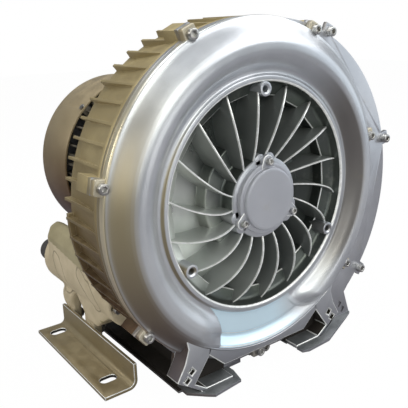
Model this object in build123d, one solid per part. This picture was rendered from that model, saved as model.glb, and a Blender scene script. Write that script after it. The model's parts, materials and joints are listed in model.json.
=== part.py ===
from build123d import *
import os
from math import atan2, cos, degrees, radians, sin

os.makedirs("parts", exist_ok=True)

# Side channel blower, millimetres. Modelled round its own axis: X to the right, Y to the motor,
# Z up, with the front face of the cover flange at Y = 0. Moved to its floor frame when written.

# Place in the floor frame
axis_height = 242.0          # blower axis above the floor
slot_front_y = 84.0          # front pair of bracket slots
slot_rear_y = 250.0          # rear pair of bracket slots
slot_x = 195.0               # slot centres to each side of the axis

# Cover flange, torus and dish
flange_r = 225.0
cover_back = 8.0
crease_r = flange_r - 21.0   # foot of the torus on its outer side
crease_y = -20.0
bulge_y = -27.0              # front of the torus
bulge_r = flange_r - 38.0    # apex of the torus
lip_r = flange_r - 77.0      # opening of the dish
lip_width = 6.0
lip_y = -13.2
dish_floor_y = 24.0
dish_floor_t = 5.0
ledge_y = 3.0                # ledge round the wall of the dish
ledge_r = lip_r - 17.0
base_r = 79.0                # raised ring round the hub
base_y = 8.0
channel_in = bulge_r - 22.0  # side channel, inner and outer radius
channel_out = bulge_r + 19.5
stripper_from = -63.5        # stretch with no channel, degrees
stripper_to = -122.3
band_y = -17.6               # front plane of the feet and of the band between them
band_z = -214.0

# Curved ribs of the dish
rib_count = 18
rib_phase = 91.2             # outer end of the first rib, degrees
rib_sweep = 17.6             # from the hub to the wall, degrees
rib_hub_y = -10.8            # their tops, arched from the hub to the wall
rib_top_y = -20.9
rib_wall_y = -3.3
rib_t = 2.4

# Hub and bearing cap
hub_r = 52.0
hub_y = -13.5
ear_circle = 49.0
ear_r = 8.0
ear_y = -19.7
cap_r = 40.8
cap_y = -25.2
ear_angles = (90.0, -30.0, -150.0)
hood_circle = lip_r - 9.6
hood_boss_r = 9.4
hood_boss_y = -16.2
hood_hole_r = 4.25
hood_hole_depth = 22.0

# Cover screws
screw_count = 7
screw_circle = flange_r + 3.3
screw_r = 3.95               # M8
screw_hole = 4.4
tapped_gap = 0.1             # shank to tapped hole
head_r = 6.5
head_h = 8.0
boss_r = 9.5                 # half the width of a screw lug

# Intermediate casing, set over to the right
ring_back = 14.0
ring_x = 33.8
ring_z = -17.0
ring_r = flange_r + 14.0
ring_screw_circle = ring_r + 3.3
chamber_r = flange_r - 17.5
foot_z = -242.0
sole_t = 4.0                 # plates under the toes
ring_squares = [(180.5, -218.0), (188.0, -228.5)]

# Rear casing
casing_flange_back = 20.0
casing_r = flange_r - 8.0
casing_draft = 6.0           # the rim is wider by this at its front
casing_back = 100.0
rail_back = 204.0            # rear end of the rails under the casing
casing_ribs = 56
casing_rib_t = 3.4
chamber_back = 62.0
port_x = 130.0
port_z = -135.0
port_r = 16.0

# Motor
frame_back = 302.0
frame_in = 104.0
frame_out = 113.0
fin_r = 134.0
fin_t = 2.8
fin_count = 56
cowl_r = 140.0
cowl_t = 2.5
cowl_in = cowl_r - cowl_t
cowl_front = 291.0
cowl_back = 393.0
core_y0, core_y1 = 135.0, 255.0
core_in = 68.0
air_gap = 0.6
rear_bearing_y = 289.0
fan_y = 325.0
blade_count = 44

# Terminal box, on the right of the motor
box_x = 160.0
box_y = 190.0

# Silencers
pipe_x = 134.0
pipe_z = -143.0
pipe_r = 44.0
pipe_back = 325.0
nozzle_x = 139.0
nozzle_z = -154.0
nozzle_circle = 27.0
nozzle_r = 20.0
nozzle_len = 66.0
motor_relief = 146.0
leg_in = 156.0
leg_y = (187.0, 256.0)
heel_out = 173.0             # outer face of heel and rear foot
knob_y = 257.0
knob_r = 16.0
lobe_y0, lobe_y1 = 165.0, 300.0
lobe_z = -74.0
stud_r = 3.95
stud_z = -219.0

# Brackets
bracket_in = 169.8
bracket_t = 5.0
bracket_out = 218.7
bracket_y0, bracket_y1 = 47.0, 273.7
bracket_top = -205.0
slot_len = 24.0
slot_w = 14.0

# Running and seating gaps
play = 0.05                  # ball to race, shaft parts that turn


def solid_of(shape):
    """The largest solid of a shape, as one clean piece."""
    found = sorted(shape.solids(), key=lambda s: s.volume)
    return found[-1]


def turned(points):
    """A ring made by turning (radius, y) points about the blower axis."""
    return revolve(make_face(Polyline(*points, close=True)), axis=Axis.Y, revolution_arc=360)


def sector(points, start, stop):
    """A turned profile kept between two angles, start above stop."""
    part = revolve(make_face(Polyline(*points, close=True)), axis=Axis.Y,
                   revolution_arc=start - stop)
    return Rot(0, -start, 0) * part


def tube(r_out, r_in, y0, y1):
    return turned([(r_in, y0), (r_out, y0), (r_out, y1), (r_in, y1)])


def rod(r, y0, y1, x=0.0, z=0.0):
    """A cylinder along Y."""
    return Pos(x, (y0 + y1) / 2, z) * Rot(90, 0, 0) * Cylinder(r, y1 - y0)


def plate(points, y0, y1):
    """An (x, z) outline made thick along Y."""
    face = make_face(Polyline(*[(x, y0, z) for x, z in points], close=True))
    return extrude(face, amount=y1 - y0, dir=(0, 1, 0))


def at(part, deg):
    """Turned round the blower axis: 0 is +X and 90 is up."""
    return Rot(0, -deg, 0) * part


def around(count, r, phase=0.0):
    """Points (x, z) spaced evenly on a circle."""
    return [(r * cos(radians(phase + 360 * k / count)), r * sin(radians(phase + 360 * k / count)))
            for k in range(count)]


def joined(parts):
    """Many pieces as one."""
    parts = list(parts)
    return parts[0].fuse(*parts[1:]) if len(parts) > 1 else parts[0]


def mirrored(part):
    return mirror(part, about=Plane.YZ)


def socket_screw(r, length, head, height, socket):
    """Socket head screw with its seat at Y = 0, shank to +Y."""
    body = rod(head, -height, 0) + rod(r, 0, length)
    hexagon = extrude(Plane.XZ.offset(height) * RegularPolygon(socket / 2, 6, major_radius=False),
                      amount=-height * 0.55)
    return body - hexagon


def screws(points, y, screw):
    return Compound(children=[Pos(x, y, z) * screw for x, z in points])


def drilled(part, points, r, y0, y1):
    """Holes along Y at (x, z) points."""
    return part - [rod(r, y0, y1, x, z) for x, z in points]


cover_points = around(screw_count, screw_circle, -90.0)
ring_points = [(ring_x + ring_screw_circle * cos(radians(a)), ring_z + ring_screw_circle * sin(radians(a)))
               for a in (-38.0, 13.5, 64.9)] + [(17.0, -231.0)]
ear_points = [(ear_circle * cos(radians(a)), ear_circle * sin(radians(a))) for a in ear_angles]
frame_points = around(4, 141, 45)
retainer_points = around(4, 50.5, 45)
shield_points = around(4, 108.5, 0)
box_points = [(box_y + 44 * a, 44 * b) for a in (-1, 1) for b in (-1, 1)]
hood_points = [(hood_circle * cos(radians(a)), hood_circle * sin(radians(a))) for a in ear_angles]


# Cover
def bulge_top():
    """Front line of the torus, from the valley beside the lip to the crease."""
    line = [(-27.0, -9.6), (-23.0, -11.6), (-18.5, -16.8), (-13.5, -21.8), (-7.0, -25.6),
            (0.0, bulge_y), (7.5, -25.8)]
    return [(bulge_r + out, y) for out, y in line] + [(crease_r, crease_y)]


def cover_blank():
    """Hub, dish, lip, torus and flange in one turned section."""
    lip_end = lip_r + lip_width
    front = [(36.0, hub_y), (hub_r, hub_y), (hub_r + 2, hub_y + 2), (hub_r + 5, base_y),
             (base_r, base_y), (base_r + 1, ledge_y), (lip_r - 4.5, ledge_y),
             (lip_r - 1.8, lip_y + 1.4), (lip_r, lip_y), (lip_end, lip_y), (lip_end + 2, lip_y + 1.2)]
    outer = [(flange_r - 1.4, -1.4), (flange_r, 0), (flange_r, cover_back)]
    back = [(152.0, cover_back), (152.0, dish_floor_y + dish_floor_t),
            (31.0, dish_floor_y + dish_floor_t), (31.0, 11.0), (36.0, 11.0)]
    return turned(front + bulge_top() + outer + back)


def dish_pocket():
    """Deep floor of the dish, with as many sides as there are ribs."""
    outline = around(rib_count, ledge_r, rib_phase + 3)
    return plate(outline, ledge_y - 1, dish_floor_y) - rod(base_r + 2.0, ledge_y - 2, dish_floor_y + 1)


def dish_ribs():
    """Curved ribs, their tops arched between the hub and the wall."""
    reach = lip_r - 1.0
    steps = 5

    def point(k, side):
        r = hub_r + (reach - hub_r) * k / steps
        a = radians(rib_phase + rib_sweep * (1 - k / steps)) + side * rib_t / 2 / r
        return r * cos(a), r * sin(a)

    outline = [point(k, 1) for k in range(steps + 1)] + [point(k, -1) for k in range(steps, -1, -1)]
    one = plate(outline, rib_top_y - 2, dish_floor_y + 1)
    arch = ThreePointArc((hub_r - 1, rib_hub_y), ((hub_r + reach) / 2 - 8, rib_top_y),
                         (reach + 1, rib_wall_y))
    rest = Polyline((reach + 1, rib_wall_y), (reach + 1, -60), (hub_r - 1, -60),
                    (hub_r - 1, rib_hub_y))
    one = one - revolve(make_face([arch, rest]), axis=Axis.Y, revolution_arc=360)
    return joined(at(one, 360 / rib_count * k) for k in range(rib_count))



def nose(deg):
    """Rounded end of the torus, at an angle."""
    half = [(0, cover_back)] + [(bulge_r - r, y) for r, y in reversed(bulge_top()) if r <= bulge_r]
    half += [(half[-1][0] + 0.5, cover_back)]
    return at(Pos(bulge_r, 0, 0) * turned(half), deg)


def stripper_cut():
    """Takes the torus off between the ports, down to a stepped hollow."""
    inner = lip_r + lip_width + 1.8
    steps = [(-27.0, -9.6), (-3.0, -11.4), (-1.4, -8.8), (1.6, -8.8), (11.6, -16.0), (13.0, band_y),
             (13.0, -45)]
    cut = sector([(inner, -45), (inner, lip_y + 1)] + [(bulge_r + out, y) for out, y in steps],
                 stripper_from, stripper_to)
    return cut - nose(stripper_from) - nose(stripper_to)


def side_channel():
    """Hollow of the torus, open to the impeller."""
    arc = [(-19.5, -7.5), (-14.5, -14.5), (-7.5, -19.6), (0.0, -21.2), (7.5, -19.6), (14.0, -13.6),
           (18.0, -5.0)]
    hollow = [(channel_in, cover_back + 1), (channel_in, 0.0)]
    hollow += [(bulge_r + out, y) for out, y in arc]
    hollow += [(channel_out, 2.0), (channel_out, cover_back + 1)]
    turn = 360.0 - (stripper_from - stripper_to) - 6
    part = revolve(make_face(Polyline(*hollow, close=True)), axis=Axis.Y, revolution_arc=turn)
    return Rot(0, -(stripper_to - 3 + 360), 0) * part


def cover_foot():
    """Right foot: pillar, chamfered wall and sole round an open pocket."""
    foot = plate([(118, -152), (133, -158), (130.5, -171), (136.5, -190), (149.5, -212),
                  (106.5, foot_z), (60, foot_z), (60, foot_z + 5.5), (104.6, foot_z + 5.5),
                  (122.5, -224.0), (98, -190), (90, -172)], band_y, cover_back)
    for x, z, turn in ((127.0, -203.5, 38), (134.5, -214.0, 38)):
        foot -= Pos(x, band_y, z) * Rot(0, turn, 0) * Box(8.2, 9.0, 8.8)
    return foot


def lugs(points, y0, y1, x=0.0, z=0.0):
    """Square screw lugs that point away from a centre."""
    return [Pos(px, (y0 + y1) / 2, pz) * Rot(0, -degrees(atan2(pz - z, px - x)), 0) * Box(
        2 * boss_r, y1 - y0, 2 * boss_r) for px, pz in points]


def cover_shape():
    body = cover_blank()
    band = plate([(-96, -150), (96, -150), (96, band_z), (-96, band_z)], band_y, cover_back)
    band -= rod(199.8, band_y - 1, cover_back + 1)
    band -= plate([(74, -260), (74, band_z + 1), (99, -188), (120, -188), (120, -260)],
                  band_y - 1, cover_back - 5)
    band -= plate([(-74, -260), (-74, band_z + 1), (-99, -188), (-120, -188), (-120, -260)],
                  band_y - 1, cover_back - 5)
    body -= stripper_cut()
    foot = cover_foot()
    body = body.fuse(band, foot, mirrored(foot), *lugs(cover_points, 0, cover_back))
    body -= dish_pocket()
    body = body.fuse(dish_ribs())
    hoods = [rod(hood_boss_r, hood_boss_y, dish_floor_y + 1, x, z) for x, z in hood_points]
    lobes = [rod(ear_r + 1, hub_y, dish_floor_y + 1, x, z) for x, z in ear_points]
    body = body.fuse(*hoods, *lobes)
    body -= side_channel()
    body -= rod(36.0, -30, 11.0)
    body -= rod(31.0, 10, 40)
    body = drilled(body, cover_points, screw_hole, -5, cover_back + 1)
    body -= [rod(8.2, -30, 0, x, z) for x, z in cover_points]
    body = drilled(body, hood_points, hood_hole_r, hood_boss_y - 1, hood_boss_y + hood_hole_depth)
    body = drilled(body, ear_points, 3.0 + tapped_gap, hub_y - 1, 8.0)
    return solid_of(body)


def cap_shape():
    """Bearing cap with three ears and a spigot that holds the bearing."""
    cap = turned([(0, cap_y), (cap_r - 1.2, cap_y), (cap_r, cap_y + 1.2), (cap_r, ear_y),
                  (46.5, ear_y), (46.5, hub_y), (35.9, hub_y), (35.9, -8.0), (30.0, -8.0),
                  (30.0, -19.0), (0, -19.0)])
    cap = cap.fuse(*[rod(ear_r, ear_y, hub_y, x, z) for x, z in ear_points])
    cap = drilled(cap, ear_points, 3.3, ear_y - 1, hub_y + 1)
    cap -= [rod(6.0, cap_y - 1, ear_y, x, z) for x, z in ear_points]
    return solid_of(cap)


# Bearings
def bearing(inner, outer, y0, width):
    """Sealed bearing: outer ring with its two seals, and inner ring."""
    wall = (outer - inner) * 0.24
    y1 = y0 + width
    seal = inner + wall + play
    ring_out = turned([(outer, y0), (outer, y1), (outer - wall, y1), (outer - wall, y1 - 1),
                       (seal, y1 - 1), (seal, y1 - 2), (outer - wall, y1 - 2), (outer - wall, y0 + 2),
                       (seal, y0 + 2), (seal, y0 + 1), (outer - wall, y0 + 1), (outer - wall, y0)])
    return solid_of(ring_out), solid_of(tube(inner + wall, inner, y0, y1))


# Casings
def floor_plate(points):
    """An (x, y) outline on the floor."""
    face = make_face(Polyline(*[(x, y, foot_z) for x, y in points], close=True))
    return extrude(face, amount=sole_t, dir=(0, 0, 1))


def ring_shape():
    """Plate casing between cover and rear casing, wider to the right."""
    own = rod(flange_r, cover_back, ring_back)
    wide = rod(ring_r, cover_back, ring_back, ring_x, ring_z)
    wide -= Pos(0, 11, -300) * Box(900, 40, 2 * (300 - 236))
    feet = [plate([(150, -140), (212, -150), (209, -178), (191, -199), (206.5, foot_z),
                   (108, foot_z), (96, -200)], cover_back, ring_back),
            plate([(-150, -140), (-133, -170), (-140, -212), (-112, foot_z), (-26, foot_z),
                   (-26, -224), (-60, -190)], cover_back, ring_back)]
    toe = band_y - 0.6
    sole = floor_plate([(130, ring_back), (130, -8), (111, -27), (103, -34), (56, -29), (50, -6),
                        (50, ring_back), (59.4, ring_back), (59.4, toe), (113, toe),
                        (113, ring_back)])
    sole_right = floor_plate([(206.5, ring_back), (205, 6), (187, -2), (114, -32), (70, -34),
                              (59.4, -30), (59.4, toe), (113, toe), (113, ring_back)])
    feet += [mirrored(sole), sole_right]
    own_lugs = lugs(cover_points, cover_back, ring_back)
    wide_lugs = lugs(ring_points, cover_back, ring_back, ring_x, ring_z)
    body = own.fuse(wide, *feet, *own_lugs, *wide_lugs)
    for x, z in ring_squares:
        body -= Pos(x, cover_back, z) * Rot(0, 38, 0) * Box(8.2, 6.0, 8.8)
    body -= rod(chamber_r, cover_back - 1, ring_back + 1)
    body = drilled(body, cover_points, screw_hole, cover_back - 1, ring_back + 1)
    body = drilled(body, ring_points, screw_r + tapped_gap, cover_back - 1, ring_back + 1)
    return solid_of(body)


def ribbed(count, tip, root, thick, y0, y1, inner, phase=0.0):
    """A ring with straight ribs or fins on its outside, as one extruded outline."""
    points = []
    for k in range(count):
        mid = radians(phase + 360 * k / count)
        low, high = thick / 2 / root, thick / 2 / tip
        for r, a in ((root, mid - low), (tip, mid - high), (tip, mid + high), (root, mid + low)):
            points.append((r * cos(a), r * sin(a)))
    return plate(points, y0, y1) - rod(inner, y0 - 1, y1 + 1)


def casing_shape():
    """Rear casing: ribbed rim, chamber for the impeller, bearing hub and motor seat."""
    body = turned([(flange_r, ring_back), (flange_r, casing_flange_back),
                   (casing_r + casing_draft, casing_flange_back + 5), (casing_r - 2, casing_back),
                   (128, casing_back),
                   (128, 70), (56, 70), (56, casing_back), (45, casing_back), (45, 72), (27, 72),
                   (27, chamber_back), (channel_in, chamber_back), (channel_in + 0.5, 70),
                   (bulge_r - 13, 83), (bulge_r - 1, 87.5), (bulge_r + 11, 83), (channel_out, 70),
                   (chamber_r, 60), (chamber_r, ring_back)])
    rim = ribbed(casing_ribs, flange_r, casing_r, casing_rib_t, casing_flange_back,
                 casing_back - 1, casing_r - 3, 1.6)
    edge = [(casing_r - 3, 94), (flange_r - 1, 94), (flange_r - 1, casing_back - 1),
            (casing_r - 3, casing_back - 1)]
    edges = [sector(edge, 238, 180), sector(edge, 360, 302)]
    bosses = [at(Pos(screw_circle - 3, (ring_back + 42) / 2, 0) * Box(24, 42 - ring_back, 19), a)
              for a in [-90 + 360 / screw_count * k for k in range(screw_count)]]
    rail = plate([(66, foot_z), (130, foot_z), (130, foot_z + 6), (106, foot_z + 6), (106, -180),
                  (99, -180), (99, foot_z + 6), (66, foot_z + 6)], ring_back, rail_back)
    body = body.fuse(rim, *edges).fuse(*bosses).fuse(rail, mirrored(rail))
    body -= rod(chamber_r, ring_back - 1, 60)
    body = drilled(body, cover_points, screw_r + tapped_gap, ring_back - 1, 38)
    body = drilled(body, [(port_x, port_z), (-port_x, port_z)], port_r, 78, casing_back + 1)
    body = drilled(body, frame_points, 5.0 + tapped_gap, 84, casing_back + 1)
    body = drilled(body, retainer_points, 2.5 + tapped_gap, 86, casing_back + 1)
    body = drilled(body, silencer_fixings(), 4.0 + tapped_gap, 88, casing_back + 1)
    body = drilled(body, [(-x, z) for x, z in silencer_fixings()], 4.0 + tapped_gap, 88,
                   casing_back + 1)
    return solid_of(body)


def silencer_fixings():
    """Screw points of the right silencer on the rear casing."""
    return [(pipe_x + (pipe_r - 9) * cos(radians(a)), pipe_z + (pipe_r - 9) * sin(radians(a)))
            for a in (-10, -70, -130)]


def silencer_shape():
    """Right silencer: hollow pipe under the motor, with a lobe, a heel and a rounded rear foot."""
    body = rod(pipe_r, casing_back + 1, pipe_back, pipe_x, pipe_z)
    side = pipe_x + pipe_r
    lobe = plate([(side, pipe_z), (side, lobe_z - 22), (side - 7, lobe_z - 6), (side - 19, lobe_z),
                  (side - 30, lobe_z - 6), (side - 34, pipe_z + 30), (side - 20, pipe_z)],
                 lobe_y0, lobe_y1)
    heel = [(112, pipe_z), (115, -167), (154, -197), (185, -197), (218, -169), (218, pipe_z)]
    front = extrude(make_face(Polyline(*[(heel_out, y, z) for y, z in heel], close=True)),
                    amount=heel_out - 122, dir=(-1, 0, 0))
    tongues = [plate([(bracket_in, pipe_z), (bracket_in, -232), (leg_in, -232), (leg_in, pipe_z)],
                     y - 16, y + 16) for y in leg_y]
    knob = Pos((heel_out + 130) / 2, knob_y, bracket_top + knob_r + 2) * Rot(0, 90, 0) * Cylinder(
        knob_r, heel_out - 130)
    body = body.fuse(lobe, front, knob, *tongues)
    body -= rod(motor_relief, casing_back, pipe_back + 1)
    body -= rod(pipe_r - 7, casing_back + 9, pipe_back - 8, pipe_x, pipe_z) - rod(
        motor_relief + 7, casing_back, pipe_back + 1)
    body -= rod(port_r, casing_back, casing_back + 10, port_x, port_z)
    body -= rod(port_r, pipe_back - 9, pipe_back + 1, nozzle_x, nozzle_z)
    body = drilled(body, silencer_fixings(), 4.4, casing_back, casing_back + 10)
    body = drilled(body, silencer_fixings(), 7.2, casing_back + 9, pipe_back + 1)
    body = drilled(body, nozzle_fixings(), 3.0 + tapped_gap, pipe_back - 6, pipe_back + 1)
    body -= [Pos((leg_in + bracket_in) / 2, y, stud_z) * Rot(0, 90, 0) * Cylinder(4.4, 40)
             for y in leg_y]
    return solid_of(body)


def nozzle_fixings():
    return [(nozzle_x + nozzle_circle * cos(radians(a)), nozzle_z + nozzle_circle * sin(radians(a)))
            for a in (45, 135, 225, 315)]


def nozzle_shape():
    """Port flange with its hose nozzle, right side."""
    y = pipe_back + 1
    end = y + nozzle_len
    body = turned([(port_r, y), (nozzle_circle + 5.5, y), (nozzle_circle + 5.5, y + 9),
                   (nozzle_r, y + 9), (nozzle_r, end - 1.5), (nozzle_r - 1.5, end), (port_r, end)])
    body = Pos(nozzle_x, 0, nozzle_z) * body
    return solid_of(drilled(body, nozzle_fixings(), 3.3, y - 1, y + 10))


def liner_shape():
    """Foam tube inside the right silencer."""
    y0, y1 = casing_back + 10, pipe_back - 9
    body = rod(pipe_r - 8, y0, y1, pipe_x, pipe_z) - rod(motor_relief + 8, y0 - 1, y1 + 1)
    body -= rod(port_r + 1, y0 - 1, y1 + 1, pipe_x, pipe_z)
    body -= [rod(8, y0 - 1, y1 + 1, x, z) for x, z in silencer_fixings()]
    return solid_of(body)


# Motor
def frame_shape():
    """Motor frame with fins, a flange at the front and a pad for the terminal box."""
    body = ribbed(fin_count, fin_r, frame_out, fin_t, casing_back + 6, frame_back, frame_in)
    body = body.fuse(tube(150, frame_in, casing_back, casing_back + 8))
    pad = Pos((frame_out + box_x) / 2 - 4, box_y, 0) * Box(box_x - frame_out + 8, 104, 104)
    tabs = [at(Pos((frame_out + cowl_in) / 2 - 2, frame_back - 5, 0) * Box(
        cowl_in - frame_out + 2.6, 10, 14), a) for a in (45, 135, 225, 315)]
    body = body.fuse(pad, *tabs)
    body -= [rod(9.5, casing_back + 8, frame_back - 12, x, z) for x, z in frame_points]
    body -= rod(frame_in, casing_back - 1, frame_back + 1)
    body = drilled(body, frame_points, 5.5, casing_back - 1, casing_back + 9)
    body = drilled(body, shield_points, 3.0 + tapped_gap, frame_back - 22, frame_back + 1)
    body -= Pos(box_x - 15, box_y, 0) * Rot(0, 90, 0) * Cylinder(14, 80)
    body -= [at(Pos(cowl_in, frame_back - 5, 0) * Rot(0, 90, 0) * Cylinder(2.5 + tapped_gap, 20), a)
             for a in (45, 135, 225, 315)]
    body -= [Pos(box_x - 8, y, z) * Rot(0, 90, 0) * Cylinder(2.5 + tapped_gap, 20)
             for y, z in box_points]
    return solid_of(body)


def shield_shape():
    """Rear bearing shield."""
    y = frame_back
    body = turned([(36.0, rear_bearing_y - 1.5), (46, rear_bearing_y - 1.5), (46, y),
                   (frame_in - 0.1, y), (frame_in - 0.1, y - 4), (frame_in - 4, y - 4),
                   (frame_in - 4, y), (frame_out, y), (frame_out, y + 8), (60, y + 8),
                   (46, y + 14), (20, y + 14), (20, rear_bearing_y + 20), (36, rear_bearing_y + 20)])
    return solid_of(drilled(body, shield_points, 3.3, y - 1, y + 9))


def cowl_shape():
    """Fan cowl with a rounded back and a slotted grille."""
    y = cowl_back
    t2 = cowl_t
    body = turned([(cowl_r, cowl_front), (cowl_r, y - 12), (cowl_r - 2.6, y - 5), (cowl_r - 9, y),
                   (0, y), (0, y - t2), (cowl_r - 10, y - t2), (cowl_in - 1.6, y - 7),
                   (cowl_in, y - 13), (cowl_in, cowl_front)])
    slots = [at(Pos(r, y, 0) * Box(length, 12, 6), 360 / count * (k + 0.5))
             for r, length, count in ((42, 26, 14), (78, 34, 24)) for k in range(count)]
    body = body - slots
    body -= [at(Pos(cowl_r - 2, frame_back - 5, 0) * Rot(0, 90, 0) * Cylinder(2.8, 10), a)
             for a in (45, 135, 225, 315)]
    return solid_of(body)


def stator_shape():
    """Laminated core with its slots."""
    body = tube(frame_in, core_in, core_y0, core_y1)
    slot = Pos(core_in + 11, (core_y0 + core_y1) / 2, 0) * Box(23, core_y1 - core_y0 + 2, 5)
    return solid_of(body - [at(slot, 15 * k) for k in range(24)])


def winding_shape(y0, y1):
    """End turns of the winding, as one rounded ring."""
    r0, r1 = core_in + 3, frame_in - 7
    return turned([(r0, y0), (r0, y1), (r0 + 6, y1), (r1 - 4, y1), (r1, y1 - 4), (r1, y0 + 4),
                   (r1 - 4, y0)])


def fan_shape():
    """Radial cooling fan on the tail of the shaft."""
    body = tube(24, 13.0, fan_y, fan_y + 28).fuse(tube(124, 22, fan_y, fan_y + 3.5))
    blade = Pos(91, fan_y + 15, 0) * Box(64, 26, 3)
    body = body.fuse(*[at(blade, 36 * k) for k in range(10)])
    return solid_of(body)


# Turning parts
def shaft_shape():
    y = rear_bearing_y
    body = turned([(0, -10), (14, -10), (15, -9), (15, 11), (16, 11), (16, 33), (19, 33), (19, 61),
                   (20, 61), (20, 95), (25, 95), (25, y), (15, y), (15, y + 20), (13, y + 20),
                   (13, fan_y + 31), (12, fan_y + 32), (0, fan_y + 32)])
    return solid_of(body - Pos(0, 46, 18.5) * Box(8, 24, 7))


def impeller_shape():
    """Disc with a ring of straight blades on both sides of a mid wall."""
    tip = chamber_r - 1.2
    rim_in, rim_out = channel_in - 7.0, channel_in - 1.5
    body = turned([(19, 31.5), (34, 31.5), (34, 40), (rim_in, 40), (rim_in, 9.5), (rim_out, 9.5),
                   (rim_out, 33), (tip, 33), (tip, 36), (rim_out, 36), (rim_out, 59.5),
                   (rim_in, 59.5), (rim_in, 46), (36, 46), (36, 60), (19, 60)])
    blades = ribbed(blade_count, tip, rim_out - 1, 3.0, 9.5, 59.5, rim_in + 0.5)
    body = body.fuse(blades)
    body -= Pos(0, 46, 19.5) * Box(8, 40, 6.0)
    body -= [rod(9, 30, 60, x, z) for x, z in around(6, 84)]
    return solid_of(body)


def rotor_shape():
    body = tube(core_in - air_gap, 25, core_y0, core_y1)
    return solid_of(body)


def ring_end(y0, y1):
    return tube(core_in - 4, 40, y0, y1)


# Terminal box
def box_shape():
    """Open terminal box with a post in each corner."""
    wide = 110
    body = Pos(box_x + 22.5, box_y, 0) * Box(45, wide, wide)
    body = fillet(body.edges().filter_by(Axis.X), 8)
    body -= Pos(box_x + 27.5, box_y, 0) * Box(45, wide - 8, wide - 8)
    posts = [Pos(box_x + 25, y, z) * Box(40, 16, 16) for y, z in box_points]
    body = body.fuse(*posts)
    body -= Pos(box_x, box_y, 0) * Rot(0, 90, 0) * Cylinder(14, 20)
    body -= rod(12.5, box_y + 45, box_y + 60, box_x + 22, 0)
    body -= [Pos(box_x + 30, y, z) * Rot(0, 90, 0) * Cylinder(2.6, 90) for y, z in box_points]
    return solid_of(body)


def flat_seal():
    body = Pos(box_x + 45.6, box_y, 0) * Box(1.2, 110, 110)
    body = fillet(body.edges().filter_by(Axis.X), 8)
    body -= Pos(box_x + 45.6, box_y, 0) * Box(4, 70, 70)
    body -= [Pos(box_x + 45, y, z) * Rot(0, 90, 0) * Cylinder(2.8, 10) for y, z in box_points]
    return solid_of(body)


def lid_shape():
    body = Pos(box_x + 50.2, box_y, 0) * Box(8, 110, 110)
    body = fillet(body.edges().filter_by(Axis.X), 8)
    body = chamfer(body.faces().sort_by(Axis.X)[-1].edges(), 2)
    body -= [Pos(box_x + 45, y, z) * Rot(0, 90, 0) * Cylinder(2.7, 30) for y, z in box_points]
    return solid_of(body)


def side_screw(r, length, head, height):
    """Screw along X, seat at X = 0, head to +X."""
    body = Pos(height / 2, 0, 0) * Rot(0, 90, 0) * Cylinder(head, height)
    body += Pos(-length / 2, 0, 0) * Rot(0, 90, 0) * Cylinder(r, length)
    return body - Pos(height, 0, 0) * Box(height, 1.2, head * 1.5)


def gland_shape():
    """Cable gland, its bore open to the rear."""
    def nut(r, y0, long):
        return extrude(Plane((0, y0, 0), x_dir=(1, 0, 0), z_dir=(0, 1, 0)) * RegularPolygon(r, 6),
                       amount=long)
    y = box_y + 55
    body = rod(12.4, y - 6, y, 0, 0).fuse(nut(15, y, 6), rod(13, y + 6, y + 11), nut(14.5, y + 11, 9))
    return Pos(box_x + 22, 0, 0) * solid_of(body - rod(8.0, y - 20, y + 30))


def block_shape():
    """Terminal block with six studs."""
    x = box_x + 5
    body = Pos(x + 8, box_y, 0) * Box(16, 60, 40)
    studs = [Pos(x + 19, box_y + 20 * a, 11 * b) * Rot(0, 90, 0) * Cylinder(2.4, 10)
             for a in (-1, 0, 1) for b in (-1, 1)]
    return solid_of(body.fuse(*studs))


# Brackets
def bracket_shape():
    """Right mounting bracket, flange outward, with two slots across and two weld studs."""
    bend = bracket_in + bracket_t
    points = [(bracket_in, foot_z + 7), (bracket_in + 2, foot_z + 2), (bracket_in + 7, foot_z),
              (bracket_out, foot_z), (bracket_out, foot_z + bracket_t),
              (bend + 4, foot_z + bracket_t), (bend + 1.2, foot_z + bracket_t + 1.2),
              (bend, foot_z + bracket_t + 4), (bend, bracket_top), (bracket_in, bracket_top)]
    body = plate(points, bracket_y0, bracket_y1)
    body = fillet(body.edges().filter_by(Axis.Z).group_by(Axis.X)[-1], 5)
    for y in (slot_front_y, slot_rear_y):
        mid = Pos(slot_x, y, foot_z + bracket_t / 2)
        body -= mid * Box(slot_len - slot_w, slot_w, 20)
        body -= [Pos(slot_x + s * (slot_len - slot_w) / 2, y, foot_z) * Cylinder(slot_w / 2, 30)
                 for s in (-1, 1)]
    studs = [Pos(bracket_in - 12, y, stud_z) * Rot(0, 90, 0) * Cylinder(stud_r, 28) for y in leg_y]
    return solid_of(body.fuse(*studs))


def bracket_nuts():
    """Hex nuts that hold the silencer legs on the studs of both brackets."""
    nut = extrude(Plane.YZ * RegularPolygon(6.5, 6, major_radius=False), amount=-6.5)
    nut = nut - Pos(0, 0, 0) * Rot(0, 90, 0) * Cylinder(stud_r + tapped_gap, 30)
    row = [Pos(leg_in, y, stud_z) * nut for y in leg_y]
    return Compound(children=row + [mirrored(one) for one in row])


# Everything, by name
m8 = socket_screw(screw_r, 34, head_r, head_h, 6.0)
m8_ring = socket_screw(screw_r, 5.6, head_r, head_h, 6.0)
m6_cap = socket_screw(3.0, 20, 5.0, 6.0, 5.0)
m6_shield = socket_screw(3.0, 24, 5.0, 6.0, 5.0)
m10 = socket_screw(5.0, 20, 8.0, 10.0, 8.0)
m8_silencer = socket_screw(4.0, 18, head_r, head_h, 6.0)
m6_nozzle = socket_screw(3.0, 13, 5.0, 6.0, 5.0)
m5 = socket_screw(2.5, 12, 4.25, 5.0, 4.0)


def backward(screw):
    """A screw whose head points to the rear."""
    return Rot(180, 0, 0) * screw


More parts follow.
